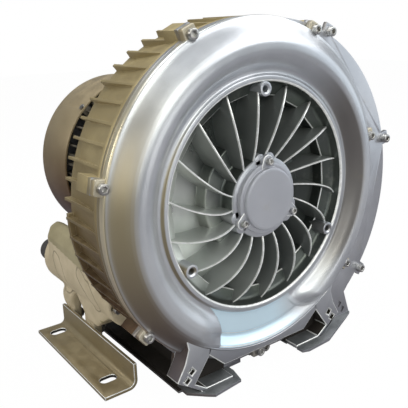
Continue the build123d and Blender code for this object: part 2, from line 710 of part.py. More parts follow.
nodes = {}
nodes["front_cover"] = cover_shape()
nodes["cover_screws"] = screws(cover_points, 0, m8)
nodes["bearing_cap"] = cap_shape()
nodes["cap_screws"] = screws(ear_points, ear_y, m6_cap)
front_rings = bearing(15, 36, -8, 19)
drive_rings = bearing(20, 45, 72, 21)
rear_rings = bearing(15, 36, rear_bearing_y, 19)
for name, rings in (("front", front_rings), ("drive", drive_rings), ("rear", rear_rings)):
    nodes[name + "_bearing_outer"] = rings[0]
    nodes[name + "_bearing_inner"] = rings[1]
nodes["casing_ring"] = ring_shape()
nodes["casing_ring_screws"] = screws(ring_points, cover_back, m8_ring)
nodes["rear_casing"] = casing_shape()
nodes["bearing_retainer"] = drilled(
    tube(55.5, 34, casing_back, casing_back + 4), retainer_points, 2.8, casing_back - 1,
    casing_back + 5)
nodes["retainer_screws"] = screws(retainer_points, casing_back + 4, backward(m5))
nodes["shaft_seal"] = turned([(27, 63), (27, 71), (24.5, 71), (24.5, 65), (20.06, 66.2),
                              (20.06, 65), (22, 63)])
nodes["motor_frame"] = frame_shape()
nodes["frame_screws"] = screws(frame_points, casing_back + 8, backward(m10))
nodes["stator_core"] = stator_shape()
nodes["front_winding"] = winding_shape(core_y0 - 20, core_y0)
nodes["rear_winding"] = winding_shape(core_y1, core_y1 + 20)
nodes["rear_shield"] = shield_shape()
nodes["shield_screws"] = screws(shield_points, frame_back + 8, backward(m6_shield))
nodes["fan_cowl"] = cowl_shape()
cowl_screw = side_screw(2.5, 9, 4.6, 2.6)
nodes["cowl_screws"] = Compound(children=[at(Pos(cowl_r, frame_back - 5, 0) * cowl_screw, a)
                                          for a in (45, 135, 225, 315)])
nodes["terminal_box"] = box_shape()
nodes["terminal_block"] = block_shape()
nodes["terminal_seal"] = flat_seal()
nodes["terminal_lid"] = lid_shape()
lid_screw = side_screw(2.5, 62, 4.4, 2.6)
nodes["terminal_screws"] = Compound(children=[Pos(box_x + 54.2, y, z) * lid_screw
                                              for y, z in box_points])
nodes["cable_gland"] = gland_shape()

silencer_right = silencer_shape()
nozzle_right = nozzle_shape()
liner_right = liner_shape()
seal_right = Pos(port_x, 0, port_z) * tube(25, port_r, casing_back, casing_back + 1)
nozzle_seal = Pos(nozzle_x, 0, nozzle_z) * tube(22, port_r, pipe_back, pipe_back + 1)
fix_right = screws(silencer_fixings(), casing_back + 9, backward(m8_silencer))
nozzle_screws = screws(nozzle_fixings(), pipe_back + 10, backward(m6_nozzle))
bracket_right = bracket_shape()
for side, change in (("right", lambda part: part), ("left", mirrored)):
    nodes["silencer_" + side] = change(silencer_right)
    nodes["silencer_liner_" + side] = change(liner_right)
    nodes["silencer_seal_" + side] = change(seal_right)
    nodes["silencer_screws_" + side] = change(fix_right)
    nodes["port_nozzle_" + side] = change(nozzle_right)
    nodes["nozzle_seal_" + side] = change(nozzle_seal)
    nodes["nozzle_screws_" + side] = change(nozzle_screws)
    nodes["bracket_" + side] = change(bracket_right)
nodes["bracket_nuts"] = bracket_nuts()

nodes["shaft"] = shaft_shape()
nodes["impeller"] = impeller_shape()
nodes["impeller_key"] = Pos(0, 46, 18.55) * Box(7.9, 23.8, 6.9)
nodes["impeller_washer"] = tube(27, 16.1, 28.5, 31.5)
nodes["impeller_nut"] = extrude(Plane((0, 18, 0), x_dir=(1, 0, 0), z_dir=(0, 1, 0))
                                * RegularPolygon(23, 6, major_radius=False), amount=10.5) - rod(
    16.1, 10, 40)
nodes["rotor_core"] = rotor_shape()
nodes["rotor_end_rings"] = Compound(children=[ring_end(core_y0 - 10, core_y0),
                                              ring_end(core_y1, core_y1 + 10)])
nodes["cooling_fan"] = fan_shape()
nodes["fan_clip"] = tube(17, 13.02, fan_y + 28, fan_y + 29.4)

frame_move = Pos(0, -(slot_front_y + slot_rear_y) / 2, axis_height)
for name, part in nodes.items():
    placed = frame_move * part
    export_step(placed, "parts/" + name + ".step")
    print(name, round(sum(s.volume for s in placed.solids())), len(placed.solids()))
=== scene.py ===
import json
import math
import bpy
import bmesh
from mathutils import Matrix, Vector


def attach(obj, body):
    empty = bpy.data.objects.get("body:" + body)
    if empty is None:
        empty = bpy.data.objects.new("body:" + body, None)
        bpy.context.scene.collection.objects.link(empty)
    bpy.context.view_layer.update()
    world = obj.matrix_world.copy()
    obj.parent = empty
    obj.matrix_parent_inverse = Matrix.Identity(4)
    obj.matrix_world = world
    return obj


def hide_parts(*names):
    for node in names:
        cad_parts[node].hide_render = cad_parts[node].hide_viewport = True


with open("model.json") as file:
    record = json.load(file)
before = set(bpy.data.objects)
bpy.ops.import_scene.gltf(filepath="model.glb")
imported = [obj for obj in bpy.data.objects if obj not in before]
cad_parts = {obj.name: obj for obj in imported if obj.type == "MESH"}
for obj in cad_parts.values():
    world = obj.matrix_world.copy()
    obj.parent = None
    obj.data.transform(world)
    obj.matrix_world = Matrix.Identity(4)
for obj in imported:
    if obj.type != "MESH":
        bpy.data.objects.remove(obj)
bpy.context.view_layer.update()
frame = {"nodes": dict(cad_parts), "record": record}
nodes = frame["nodes"]
axisZ = 0.242        # blower axis above the floor
frontY = -0.167      # cover flange, front edge
print("frame loaded:", len(nodes), "nodes")


# Shader maths

class Wire:
    # a node's output that can be added, multiplied and so on
    def __init__(self, net, out):
        self.net, self.out = net, out

    def maths(self, kind, b=0.0):
        return self.net.add("ShaderNodeMath", {"operation": kind}, {0: self, 1: b})

    def __add__(self, b):
        return self.maths("ADD", b)

    def __sub__(self, b):
        return self.maths("SUBTRACT", b)

    def __mul__(self, b):
        return self.maths("MULTIPLY", b)

    __radd__ = __add__


class Net:
    # one material and the nodes in it
    def __init__(self, name, **fixed):
        self.mat = bpy.data.materials.new(name)
        self.mat.use_nodes = True
        self.tree = self.mat.node_tree
        self.tree.nodes.clear()
        self.shader = self.tree.nodes.new("ShaderNodeBsdfPrincipled")
        end = self.tree.nodes.new("ShaderNodeOutputMaterial")
        self.tree.links.new(self.shader.outputs[0], end.inputs[0])
        for key, value in fixed.items():
            self.put(self.shader.inputs[key.replace("_", " ")], value)

    def put(self, socket, value):
        if isinstance(value, Wire):
            self.tree.links.new(value.out, socket)
        elif hasattr(socket.default_value, "__len__") and len(socket.default_value) == 4:
            socket.default_value = (*value, 1.0)[:4]
        else:
            socket.default_value = value

    def add(self, kind, settings=None, sockets=None, out=0):
        node = self.tree.nodes.new(kind)
        for key, value in (settings or {}).items():
            setattr(node, key, value)
        for key, value in (sockets or {}).items():
            self.put(node.inputs[key], value)
        return Wire(self, node.outputs[out])

    def place(self):
        return self.add("ShaderNodeTexCoord", out="Object")

    def speckle(self, scale, detail=3.0, rough=0.55):
        return self.add("ShaderNodeTexNoise", {}, {"Vector": self.place(), "Scale": scale,
                                                   "Detail": detail, "Roughness": rough})

    def ramp(self, value, low, high):
        # 0 below low, 1 above high, smooth between
        return self.add("ShaderNodeMapRange", {"interpolation_type": "SMOOTHSTEP"},
                        {"Value": value, "From Min": low, "From Max": high})

    def mix(self, part, a, b):
        return self.add("ShaderNodeMix", {"data_type": "RGBA"}, {0: part, 6: a, 7: b}, out=2)

    def facing(self, axis):
        # one part of the outward direction: 0 right, 1 back, 2 up
        normal = self.add("ShaderNodeNewGeometry", out="Normal")
        return self.add("ShaderNodeSeparateXYZ", {}, {0: normal}, out=axis)

    def along(self, axis):
        return self.add("ShaderNodeSeparateXYZ", {}, {0: self.place()}, out=axis)

    def grain(self, height, depth):
        return self.add("ShaderNodeBump", {}, {"Height": height, "Distance": depth, "Strength": 1.0})

    def ends(self, **links):
        for key, value in links.items():
            self.put(self.shader.inputs[key.replace("_", " ")], value)
        return self.mat


silverLook = {
    "bright": (0.61, 0.63, 0.66), "shade": (0.49, 0.51, 0.545), "warm": (0.33, 0.275, 0.155),
    "low": (0.105, 0.066, 0.05), "brownReflection": (0.135, 0.12, 0.105), "under": (0.27, 0.265, 0.30),
    "metallic": 0.80, "rough": 0.31, "roughSpread": 0.08, "cloudScale": 9.0, "cloudSpan": (0.35, 0.68),
    "stainScale": 34.0, "stainSpan": (0.56, 0.74), "stainShare": 0.12, "grainScale": 900.0,
    "grainDepth": 0.00008, "leftLean": 0.35, "leftTurn": (0.20, 0.72), "leftPart": (0.03, 0.14),
    "leftShare": 0.92, "lowPart": (0.06, 0.26), "innerLean": 0.2, "innerTurn": (0.10, 0.45),
    "rightPart": (0.06, 0.15), "innerShare": 0.85, "floorPart": (0.02, 0.085), "floorShare": 0.5,
    "below": (-0.9, 0.155), "right": (0.9, 0.3), "waver": 0.015,
}


def silverPaint(name, look):
    # satin silver paint on a casting: cloudy tone and fine grain, with painted reflections, warm on what
    # faces left in the left part and brown on what faces left in the right part, and painted shade, greyer
    # near the floor
    net = Net(name, Metallic=look["metallic"])
    acrossX, upZ, toLeft, toTop = net.along(0), net.along(2), net.facing(0) * -1.0, net.facing(2)
    cloud = net.ramp(net.speckle(look["cloudScale"], 4.0), *look["cloudSpan"])
    body = net.mix(cloud, look["shade"], look["bright"])
    # painted reflection: a warm tone on left-facing faces, going to dark brown lower down
    warm = net.mix(net.ramp(upZ, *look["lowPart"]), look["low"], look["warm"])
    left = net.ramp(toLeft - toTop * look["leftLean"], *look["leftTurn"])
    body = net.mix(left * net.ramp(acrossX * -1.0, *look["leftPart"]) * look["leftShare"], body, warm)
    # painted reflection: brown on what faces left in the right part
    inner = net.ramp(toLeft - toTop * look["innerLean"], *look["innerTurn"])
    body = net.mix(inner * net.ramp(acrossX, *look["rightPart"]) * look["innerShare"], body, look["brownReflection"])
    # painted shade: greyer near the floor
    lift = net.ramp(upZ, *look["floorPart"]) * look["floorShare"] + (1.0 - look["floorShare"])
    body = net.mix(lift, look["under"], body)
    high = upZ - axisZ
    if "dark" in look:
        # painted shade: the dish gets darker to its right and at its lowest
        below = high * look["below"][0] - look["below"][1]
        right = acrossX * look["right"][0] + high * look["right"][1]
        reach = below.maths("MAXIMUM", right) + cloud * look["waver"]
        body = net.mix(net.ramp(reach, *look["shadeFade"]), body, look["dark"])
    fine = net.speckle(look["grainScale"], 2.0)
    stain = net.ramp(net.speckle(look["stainScale"], 5.0, 0.7), *look["stainSpan"])
    body = net.mix(stain * look["stainShare"], body, look["warm"])
    if "end" in look:
        # painted reflection: the stepped hollow keeps its pale sky tone up to the right end
        angle = high.maths("ARCTAN2", acrossX)
        body = net.mix(net.ramp(angle, *look["end"]), look["pale"], body)
    rough = look["rough"] + cloud * look["roughSpread"] + stain * look["roughSpread"]
    return net.ends(Base_Color=body, Roughness=rough, Normal=net.grain(fine, look["grainDepth"]))


groove = {"waverScale": 70.0, "waver": 0.008, "half": (0.0005, 0.0016), "share": 0.6, "tone": 0.45,
          "depth": 9.0}


def ovalLine(net, start, end, wide):
    # 1 along a wavering oval at that distance from a line, its ends given in depth and height
    fromY, fromZ = net.along(1) - start[0], net.along(2) - start[1]
    alongY, alongZ = end[0] - start[0], end[1] - start[1]
    share = (fromY * alongY + fromZ * alongZ) * (1 / (alongY ** 2 + alongZ ** 2))
    share = share.maths("MAXIMUM", 0.0).maths("MINIMUM", 1.0)
    offY, offZ = fromY - share * alongY, fromZ - share * alongZ
    reach = (offY * offY + offZ * offZ).maths("SQRT")
    waver = net.speckle(groove["waverScale"], 3.0) * groove["waver"]
    off = (reach + waver - groove["waver"] / 2 - wide).maths("ABSOLUTE")
    return net.ramp(off, *groove["half"]) * -1.0 + 1.0


def oldPaint(name, light, dark, rough=0.45, metallic=0.3, scale=14.0, dusty=0.25, low=None, span=None,
             ovals=()):
    # plain paint with cloudy tone, dust on what faces up and a fine orange peel; low is a tone of painted
    # shade below, fading out between the two heights of span; each of ovals is a groove, given as to
    # ovalLine, with painted shade in it
    net = Net(name, Metallic=metallic)
    cloud = net.ramp(net.speckle(scale, 5.0, 0.6), 0.34, 0.70)
    body = net.mix(cloud, dark, light)
    if low:
        # painted shade: darker towards the bottom
        body = net.mix(net.ramp(net.along(2) + cloud * 0.02, *span), low, body)
    up = net.ramp(net.facing(2), 0.4, 1.0) * net.ramp(net.speckle(55.0, 4.0), 0.4, 0.62)
    pale = tuple(min(1.0, c * 1.35 + 0.05) for c in light)
    body = net.mix(up * dusty, body, pale)
    peel = net.speckle(620.0, 2.0)
    for oval in ovals:
        line = ovalLine(net, **oval)
        # painted shade along the groove
        body = net.mix(line * groove["share"], body, tuple(c * groove["tone"] for c in dark))
        peel = peel - line * groove["depth"]
    return net.ends(Base_Color=body, Roughness=rough + up * 0.2 + cloud * 0.06,
                    Normal=net.grain(peel, 0.0001))


def bareMetal(name, tone, dark, rough=0.28, scale=220.0, metallic=1.0):
    # plated or turned metal with fine scratches
    net = Net(name, Metallic=metallic)
    streak = net.add("ShaderNodeTexNoise", {}, {
        "Vector": net.add("ShaderNodeMapping", {}, {"Vector": net.place(), "Scale": (1.0, 0.12, 1.0)}),
        "Scale": scale, "Detail": 4.0})
    worn = net.ramp(streak, 0.38, 0.66)
    blot = net.ramp(net.speckle(60.0, 4.0), 0.5, 0.75)
    return net.ends(Base_Color=net.mix(blot * 0.5, net.mix(worn, dark, tone), dark),
                    Roughness=rough + worn * 0.1 + blot * 0.12, Normal=net.grain(streak, 0.00006))


def mouldedPlastic(name, tone, rough):
    # moulded plastic or rubber with a fine texture and a bit of dust
    net = Net(name)
    pit = net.speckle(500.0, 2.0)
    dust = net.ramp(net.speckle(38.0, 5.0, 0.65), 0.52, 0.75)
    pale = tuple(c * 0.6 + 0.22 for c in tone)
    return net.ends(Base_Color=net.mix(dust * 0.3, tone, pale), Roughness=rough + dust * 0.15,
                    Normal=net.grain(pit, 0.00012))


def woundCopper(name):
    # enamelled wire: fine turns round the axis and brown varnish
    net = Net(name, Metallic=0.7)
    turns = net.add("ShaderNodeTexWave", {"bands_direction": "Y"}, {
        "Vector": net.place(), "Scale": 260.0, "Distortion": 2.5, "Detail": 2.0}, out=1)
    tone = net.mix(net.ramp(net.speckle(40.0), 0.4, 0.65), (0.30, 0.13, 0.06), (0.55, 0.27, 0.13))
    return net.ends(Base_Color=tone, Roughness=0.35 + turns * 0.2, Normal=net.grain(turns, 0.0003))


def stackedSteel(name):
    # laminations: thin lines along the axis
    net = Net(name, Metallic=0.9)
    sheets = net.add("ShaderNodeTexWave", {"bands_direction": "Y"}, {
        "Vector": net.place(), "Scale": 320.0, "Distortion": 0.3}, out=1)
    rust = net.ramp(net.speckle(50.0, 5.0), 0.52, 0.72)
    tone = net.mix(rust * 0.6, (0.33, 0.33, 0.35), (0.24, 0.15, 0.10))
    return net.ends(Base_Color=tone, Roughness=0.42 + rust * 0.25, Normal=net.grain(sheets, 0.0002))


def openFoam(name):
    # acoustic foam: open cells
    net = Net(name)
    cells = net.add("ShaderNodeTexVoronoi", {}, {"Vector": net.place(), "Scale": 420.0})
    tone = net.mix(net.ramp(cells, 0.05, 0.5), (0.07, 0.07, 0.075), (0.27, 0.27, 0.28))
    return net.ends(Base_Color=tone, Roughness=0.9 + cells * 0.05, Normal=net.grain(cells, 0.0008))


coverSilver = silverPaint("coverSilver", silverLook)
# painted reflection: a pale blue sky tone for the stepped hollow
hollowSkyReflection = silverPaint("hollowSkyReflection", {**silverLook, "pale": (0.64, 0.81, 0.92), "metallic": 0.55,
                                            "end": (-1.50, -1.16)})
# painted shade and highlight: the dish is very pale on the left and near-black to its right and low down
dishSilver = silverPaint("dishSilver", {
    **silverLook, "bright": (0.90, 0.93, 0.89), "shade": (0.74, 0.77, 0.73), "warm": (0.66, 0.66, 0.60),
    "dark": (0.095, 0.107, 0.10), "shadeFade": (-0.105, -0.035), "rough": 0.27, "metallic": 0.75})
# painted shade and highlight: the ribs are pale on the left and dark to their right and low down
ribSilver = silverPaint("ribSilver", {
    **silverLook, "bright": (0.74, 0.77, 0.75), "shade": (0.60, 0.63, 0.61), "warm": (0.56, 0.56, 0.52),
    "dark": (0.21, 0.225, 0.22), "shadeFade": (-0.11, 0.01), "rough": 0.28, "metallic": 0.70})
capGrey = silverPaint("capGrey", {**silverLook, "bright": (0.42, 0.43, 0.47), "shade": (0.37, 0.38, 0.42),
                                  "metallic": 0.5, "rough": 0.36})
# painted highlight: pale bright metal on bevelled edges, the lip, the ledge, the rib crests and the
# hollow's steps
edgeHighlight = bareMetal("edgeHighlight", (0.93, 0.94, 0.94), (0.80, 0.81, 0.80), 0.30, 150.0, 0.55)
# painted highlight: a brighter tone along the cover's outer rim
rimHighlight = silverPaint("rimHighlight", {**silverLook, "bright": (0.80, 0.82, 0.82), "shade": (0.68, 0.70, 0.70),
                                    "warm": (0.74, 0.66, 0.46), "low": (0.42, 0.32, 0.27), "rough": 0.26})
lugPaint = silverPaint("lugPaint", {**silverLook, "bright": (0.50, 0.46, 0.37), "shade": (0.42, 0.38, 0.29),
                                    "warm": (0.34, 0.28, 0.17), "metallic": 0.5})
# the casing ring's paint, its warm tone on the left a painted reflection; also the painted highlight on the
# shadow plates' edges
plateSilver = silverPaint("plateSilver", {
    **silverLook, "bright": (0.53, 0.54, 0.57), "shade": (0.43, 0.44, 0.47), "warm": (0.38, 0.32, 0.19),
    "low": (0.15, 0.10, 0.06)})
# painted shade: the casing's olive goes to dark brown towards the bottom
casingOlive = oldPaint("casingOlive", (0.43, 0.355, 0.19), (0.34, 0.27, 0.135), rough=0.42, metallic=0.45,
                       scale=12.0, dusty=0.12, low=(0.062, 0.026, 0.008), span=(0.09, 0.38))
# painted highlight on the casing's bevelled edges, with painted shade lower down
oliveEdgeHighlight = oldPaint("oliveEdgeHighlight", (0.62, 0.55, 0.38), (0.50, 0.43, 0.28), rough=0.35, metallic=0.5,
                     scale=30.0, dusty=0.1, low=(0.28, 0.19, 0.11), span=(0.08, 0.30))
# painted shade: the cowl goes to dark red-brown towards the bottom
cowlBrown = oldPaint("cowlBrown", (0.34, 0.275, 0.17), (0.26, 0.205, 0.12), rough=0.36, metallic=0.35,
                     scale=5.0, dusty=0.15, low=(0.07, 0.024, 0.007), span=(0.15, 0.34))
finDark = oldPaint("finDark", (0.12, 0.105, 0.08), (0.035, 0.03, 0.022), rough=0.5)
boxGrey = oldPaint("boxGrey", (0.36, 0.33, 0.27), (0.28, 0.25, 0.20), rough=0.42)
bracketPaint = oldPaint("bracketPaint", (0.33, 0.275, 0.17), (0.25, 0.20, 0.115), rough=0.38, metallic=0.5,
                        scale=6.0, dusty=0.12)
# painted shade along two oval grooves on the silencers
silencerOvals = [{"start": (0.103, 0.115), "end": (0.083, 0.078), "wide": 0.013},
                 {"start": (0.019, 0.117), "end": (-0.021, 0.084), "wide": 0.011}]
silencerBeige = oldPaint("silencerBeige", (0.53, 0.45, 0.315), (0.44, 0.37, 0.25), rough=0.6, metallic=0.1,
                         scale=30.0, dusty=0.2, ovals=silencerOvals)
# painted shade: a darker olive for the silencers' top and the front of their feet
silencerShade = oldPaint("silencerShade", (0.37, 0.325, 0.20), (0.29, 0.25, 0.145), rough=0.5, metallic=0.2,
                         scale=20.0, dusty=0.1)
# painted shade: near-black for the foot pockets, recesses, slots, the space under the casing and the floor
# plates
paintedShadow = oldPaint("paintedShadow", (0.022, 0.017, 0.013), (0.012, 0.009, 0.007), rough=0.7, metallic=0.0,
                      scale=20.0, dusty=0.0)
# painted shade: a darker grey for the tops of the soles
soleShade = oldPaint("soleShade", (0.24, 0.25, 0.26), (0.13, 0.14, 0.145), rough=0.4, metallic=0.5,
                    scale=20.0, dusty=0.05)
zincSteel = bareMetal("zincSteel", (0.62, 0.62, 0.61), (0.42, 0.41, 0.39), 0.28, 120.0)
ballSteel = bareMetal("ballSteel", (0.75, 0.75, 0.76), (0.55, 0.55, 0.57), 0.12)
castAlloy = bareMetal("castAlloy", (0.62, 0.63, 0.64), (0.42, 0.42, 0.43), 0.42, 90.0, 0.9)
coreSteel = stackedSteel("coreSteel")
copperWire = woundCopper("copperWire")
blackRubber = mouldedPlastic("blackRubber", (0.03, 0.03, 0.03), 0.7)
blackPlastic = mouldedPlastic("blackPlastic", (0.045, 0.042, 0.04), 0.45)
fanPlastic = mouldedPlastic("fanPlastic", (0.10, 0.10, 0.11), 0.5)
linerFoam = openFoam("linerFoam")
slotLooks = {"cover_paint": coverSilver, "casing_paint": casingOlive, "cowl_paint": cowlBrown,
             "box_paint": boxGrey, "zinc_steel": zincSteel, "bearing_steel": ballSteel,
             "cast_aluminium": castAlloy, "core_steel": coreSteel, "copper_winding": copperWire,
             "black_rubber": blackRubber, "fan_plastic": fanPlastic, "black_plastic": blackPlastic,
             "silencer_paint": silencerBeige, "foam": linerFoam, "bracket_paint": bracketPaint}
for part in frame["record"]["subparts"]:
    holder = nodes[part["node"]]
    look = slotLooks[part["material_slot"]]
    if not holder.material_slots:
        holder.data.materials.append(look)
    for slot in holder.material_slots:
        slot.material = look
print("materials made:", len(bpy.data.materials))


# Mesh helpers: shapes are in millimetres round the blower axis, front of the flange at 0

def place(x, y, z):
    return (x / 1000, y / 1000 + frontY, z / 1000 + axisZ)


def spun(section, steps, closed=False, looks=None):
    # section(angle) gives (radius, y) points; closed joins the last point to the first;
    # steps is a number of even steps or a list of angles in degrees
    verts, faces, marks = [], [], []
    count = len(section(0.0))
    angles = steps if isinstance(steps, list) else [360.0 * k / steps for k in range(steps)]
    steps = len(angles)
    for a in (math.radians(angle) for angle in angles):
        verts += [place(r * math.cos(a), y, r * math.sin(a)) for r, y in section(a)]
    for step in range(steps):
        here, there = step * count, (step + 1) % steps * count
        for k in range(count if closed else count - 1):
            n = (k + 1) % count
            faces.append((here + k, here + n, there + n, there + k))
            marks.append(looks(k) if looks else 0)
    return verts, faces, marks


def prism(points, y0, y1):
    # an (x, z) outline made thick from y0 to y1
    n = len(points)
    verts = [place(x, y, z) for y in (y0, y1) for x, z in points]
    faces = [tuple(range(n)), tuple(range(2 * n - 1, n - 1, -1))]
    faces += [(k, k + n, (k + 1) % n + n, (k + 1) % n) for k in range(n)]
    return verts, faces, [0] * len(faces)


def linked(name, data):
    thing = bpy.data.objects.new(name, data)
    bpy.context.scene.collection.objects.link(thing)
    return thing


def newPiece(name, parts, mats):
    # parts: (verts, faces, marks) to hold in one mesh
    verts, faces, marks = [], [], []
    for v, f, m in parts:
        base = len(verts)
        verts += v
        faces += [tuple(base + k for k in face) for face in f]
        marks += m
    mesh = bpy.data.meshes.new(name)
    mesh.from_pydata(verts, [], faces)
    for mat in mats:
        mesh.materials.append(mat)
    mesh.polygons.foreach_set("material_index", marks)
    tidyMesh(mesh)
    return linked(name, mesh)


def tidyMesh(mesh, weld=1e-6, flat=None):
    bm = bmesh.new()
    bm.from_mesh(mesh)
    bmesh.ops.remove_doubles(bm, verts=bm.verts, dist=weld)
    bmesh.ops.dissolve_degenerate(bm, dist=1e-7, edges=bm.edges)
    if flat:
        bmesh.ops.dissolve_limit(bm, angle_limit=flat, verts=bm.verts, edges=bm.edges)
    bmesh.ops.recalc_face_normals(bm, faces=bm.faces)
    bm.to_mesh(mesh)
    bm.free()


def settle(piece, sharp=32.0):
    # turns the modifiers into plain mesh and shades it smooth up to an angle
    bpy.context.view_layer.update()
    graph = bpy.context.evaluated_depsgraph_get()
    mesh = bpy.data.meshes.new_from_object(piece.evaluated_get(graph))
    piece.modifiers.clear()
    piece.data = mesh
    mesh.shade_smooth()
    mesh.set_sharp_from_angle(angle=math.radians(sharp))
    return piece


def bevelled(piece, width, segments=2, limit=30.0, edge=None):
    # soft edges, with a painted highlight in a tone of their own where asked
    mod = piece.modifiers.new("edges", "BEVEL")
    mod.width = width / 1000
    mod.segments = segments
    mod.limit_method = "ANGLE"
    mod.angle_limit = math.radians(limit)
    if edge:
        piece.data.materials.append(edge)
        mod.material = len(piece.data.materials) - 1
    return settle(piece)


def toned(piece, mat, test):
    # another material on the faces that pass; test gets the centre (mm, part axes) and the direction
    piece.data.materials.append(mat)
    at = len(piece.data.materials) - 1
    for poly in piece.data.polygons:
        x, y, z = poly.center
        if test(x * 1000, (y - frontY) * 1000, (z - axisZ) * 1000, poly.normal):
            poly.material_index = at


def cutBy(piece, cutter):
    mod = piece.modifiers.new("cut", "BOOLEAN")
    mod.operation, mod.solver, mod.object = "DIFFERENCE", "EXACT", cutter
    settle(piece)
    bpy.data.objects.remove(cutter)
    return piece


def joinedInto(first, others):
    # the others' meshes go into the first piece, with their materials
    for o in bpy.context.selected_objects:
        o.select_set(False)
    for o in (first, *others):
        o.select_set(True)
    bpy.context.view_layer.objects.active = first
    bpy.ops.object.join()
    return first


def stands(piece, node):
    # the piece rides on the housing, in place of that CAD node
    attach(piece, "housing")
    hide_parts(node)
    return piece


def dressed(name, width, mat=None, edge=None):
    # a CAD node's own shape with soft edges
    mesh = nodes[name].data.copy()
    mesh.name = name + "Dressed"
    tidyMesh(mesh, 2e-6, math.radians(0.4))
    if mat:
        for k in range(len(mesh.materials)):
            mesh.materials[k] = mat
    return stands(bevelled(linked(name + "Dressed", mesh), width, edge=edge), name)


def groupTree(name, inputs):
    # a node group that ends with real copies in the material it is given
    tree = bpy.data.node_groups.new(name, "GeometryNodeTree")
    face, new, link = tree.interface, tree.nodes.new, tree.links.new
    face.new_socket(name="Geometry", in_out="INPUT", socket_type="NodeSocketGeometry")
    keys = {label: face.new_socket(name=label, in_out="INPUT", socket_type=kind).identifier
            for label, kind in {**inputs, "Material": "NodeSocketMaterial"}.items()}
    face.new_socket(name="Geometry", in_out="OUTPUT", socket_type="NodeSocketGeometry")
    start, end = new("NodeGroupInput"), new("NodeGroupOutput")
    real, paint = new("GeometryNodeRealizeInstances"), new("GeometryNodeSetMaterial")
    link(real.outputs[0], paint.inputs["Geometry"])
    link(start.outputs["Material"], paint.inputs["Material"])
    link(paint.outputs[0], end.inputs[0])
    return tree, keys, start, real


def aroundTree():
    # copies of the piece's own mesh round the blower axis
    tree, keys, start, real = groupTree("aroundAxis", {
        "Count": "NodeSocketInt", "Phase": "NodeSocketFloat", "Axis Height": "NodeSocketFloat"})
    new, link = tree.nodes.new, tree.links.new
    row = new("GeometryNodeMeshLine")
    row.inputs["Offset"].default_value = (0, 0, 0)
    link(start.outputs["Count"], row.inputs["Count"])
    turn, step, angle = new("ShaderNodeMath"), new("ShaderNodeMath"), new("ShaderNodeMath")
    turn.operation, step.operation, angle.operation = "DIVIDE", "MULTIPLY", "SUBTRACT"
    turn.inputs[0].default_value = -2 * math.pi
    link(start.outputs["Count"], turn.inputs[1])
    link(new("GeometryNodeInputIndex").outputs[0], step.inputs[0])
    link(turn.outputs[0], step.inputs[1])
    link(step.outputs[0], angle.inputs[0])
    link(start.outputs["Phase"], angle.inputs[1])
    spin, lift = new("ShaderNodeCombineXYZ"), new("ShaderNodeCombineXYZ")
    link(angle.outputs[0], spin.inputs["Y"])
    link(start.outputs["Axis Height"], lift.inputs["Z"])
    put, shift = new("GeometryNodeInstanceOnPoints"), new("GeometryNodeTranslateInstances")
    link(row.outputs[0], put.inputs["Points"])
    link(start.outputs["Geometry"], put.inputs["Instance"])
    link(spin.outputs[0], put.inputs["Rotation"])
    link(put.outputs[0], shift.inputs["Instances"])
    link(lift.outputs[0], shift.inputs["Translation"])
    shift.inputs["Local Space"].default_value = False
    link(shift.outputs[0], real.inputs[0])
    return tree, keys


def pointsTree():
    # a copy of another piece on every vertex of this one
    tree, keys, start, real = groupTree("onPoints", {"Piece": "NodeSocketObject"})
    new, link = tree.nodes.new, tree.links.new
    info, put = new("GeometryNodeObjectInfo"), new("GeometryNodeInstanceOnPoints")
    link(start.outputs["Piece"], info.inputs["Object"])
    link(start.outputs["Geometry"], put.inputs["Points"])
    link(info.outputs["Geometry"], put.inputs["Instance"])
    link(put.outputs[0], real.inputs[0])
    return tree, keys


aroundGroup, aroundKeys = aroundTree()
pointsGroup, pointsKeys = pointsTree()


def grouped(piece, group, keys, values):
    mod = piece.modifiers.new("copies", "NODES")
    mod.node_group = group
    for label, value in values.items():
        mod[keys[label]] = value
    return piece


def around(piece, count, phase, mat):
    # the piece's mesh is lowered to the axis, then copied round it
    piece.data.transform(Matrix.Translation((0, 0, -axisZ)))
    grouped(piece, aroundGroup, aroundKeys, {"Count": count, "Phase": math.radians(phase),
                                             "Axis Height": axisZ, "Material": mat})
    return settle(piece, 60.0)


def onPoints(name, points, copied, mat):
    mesh = bpy.data.meshes.new(name)
    mesh.from_pydata([place(*p) for p in points], [], [])
    piece = linked(name, mesh)
    return settle(grouped(piece, pointsGroup, pointsKeys, {"Piece": copied, "Material": mat}))


def smoothLine(points):
    # a curve through (x, value) points that doesn't overshoot
    xs, ys = [p[0] for p in points], [p[1] for p in points]
    gaps = [(ys[k + 1] - ys[k]) / (xs[k + 1] - xs[k]) for k in range(len(xs) - 1)]
    slopes = [gaps[0]] + [0.0 if a * b <= 0 else 2 * a * b / (a + b)
                          for a, b in zip(gaps, gaps[1:])] + [gaps[-1]]

    def value(x):
        if x <= xs[0]:
            return ys[0]
        if x >= xs[-1]:
            return ys[-1]
        k = max(i for i in range(len(xs) - 1) if xs[i] <= x)
        h = xs[k + 1] - xs[k]
        t = (x - xs[k]) / h
        return ((1 + 2 * t) * (1 - t) ** 2 * ys[k] + t * (1 - t) ** 2 * h * slopes[k]
                + t * t * (3 - 2 * t) * ys[k + 1] + t * t * (t - 1) * h * slopes[k + 1])
    return value


def blend(value, low, high):
    t = min(1.0, max(0.0, (value - low) / (high - low)))
    return t * t * (3 - 2 * t)


# Front cover

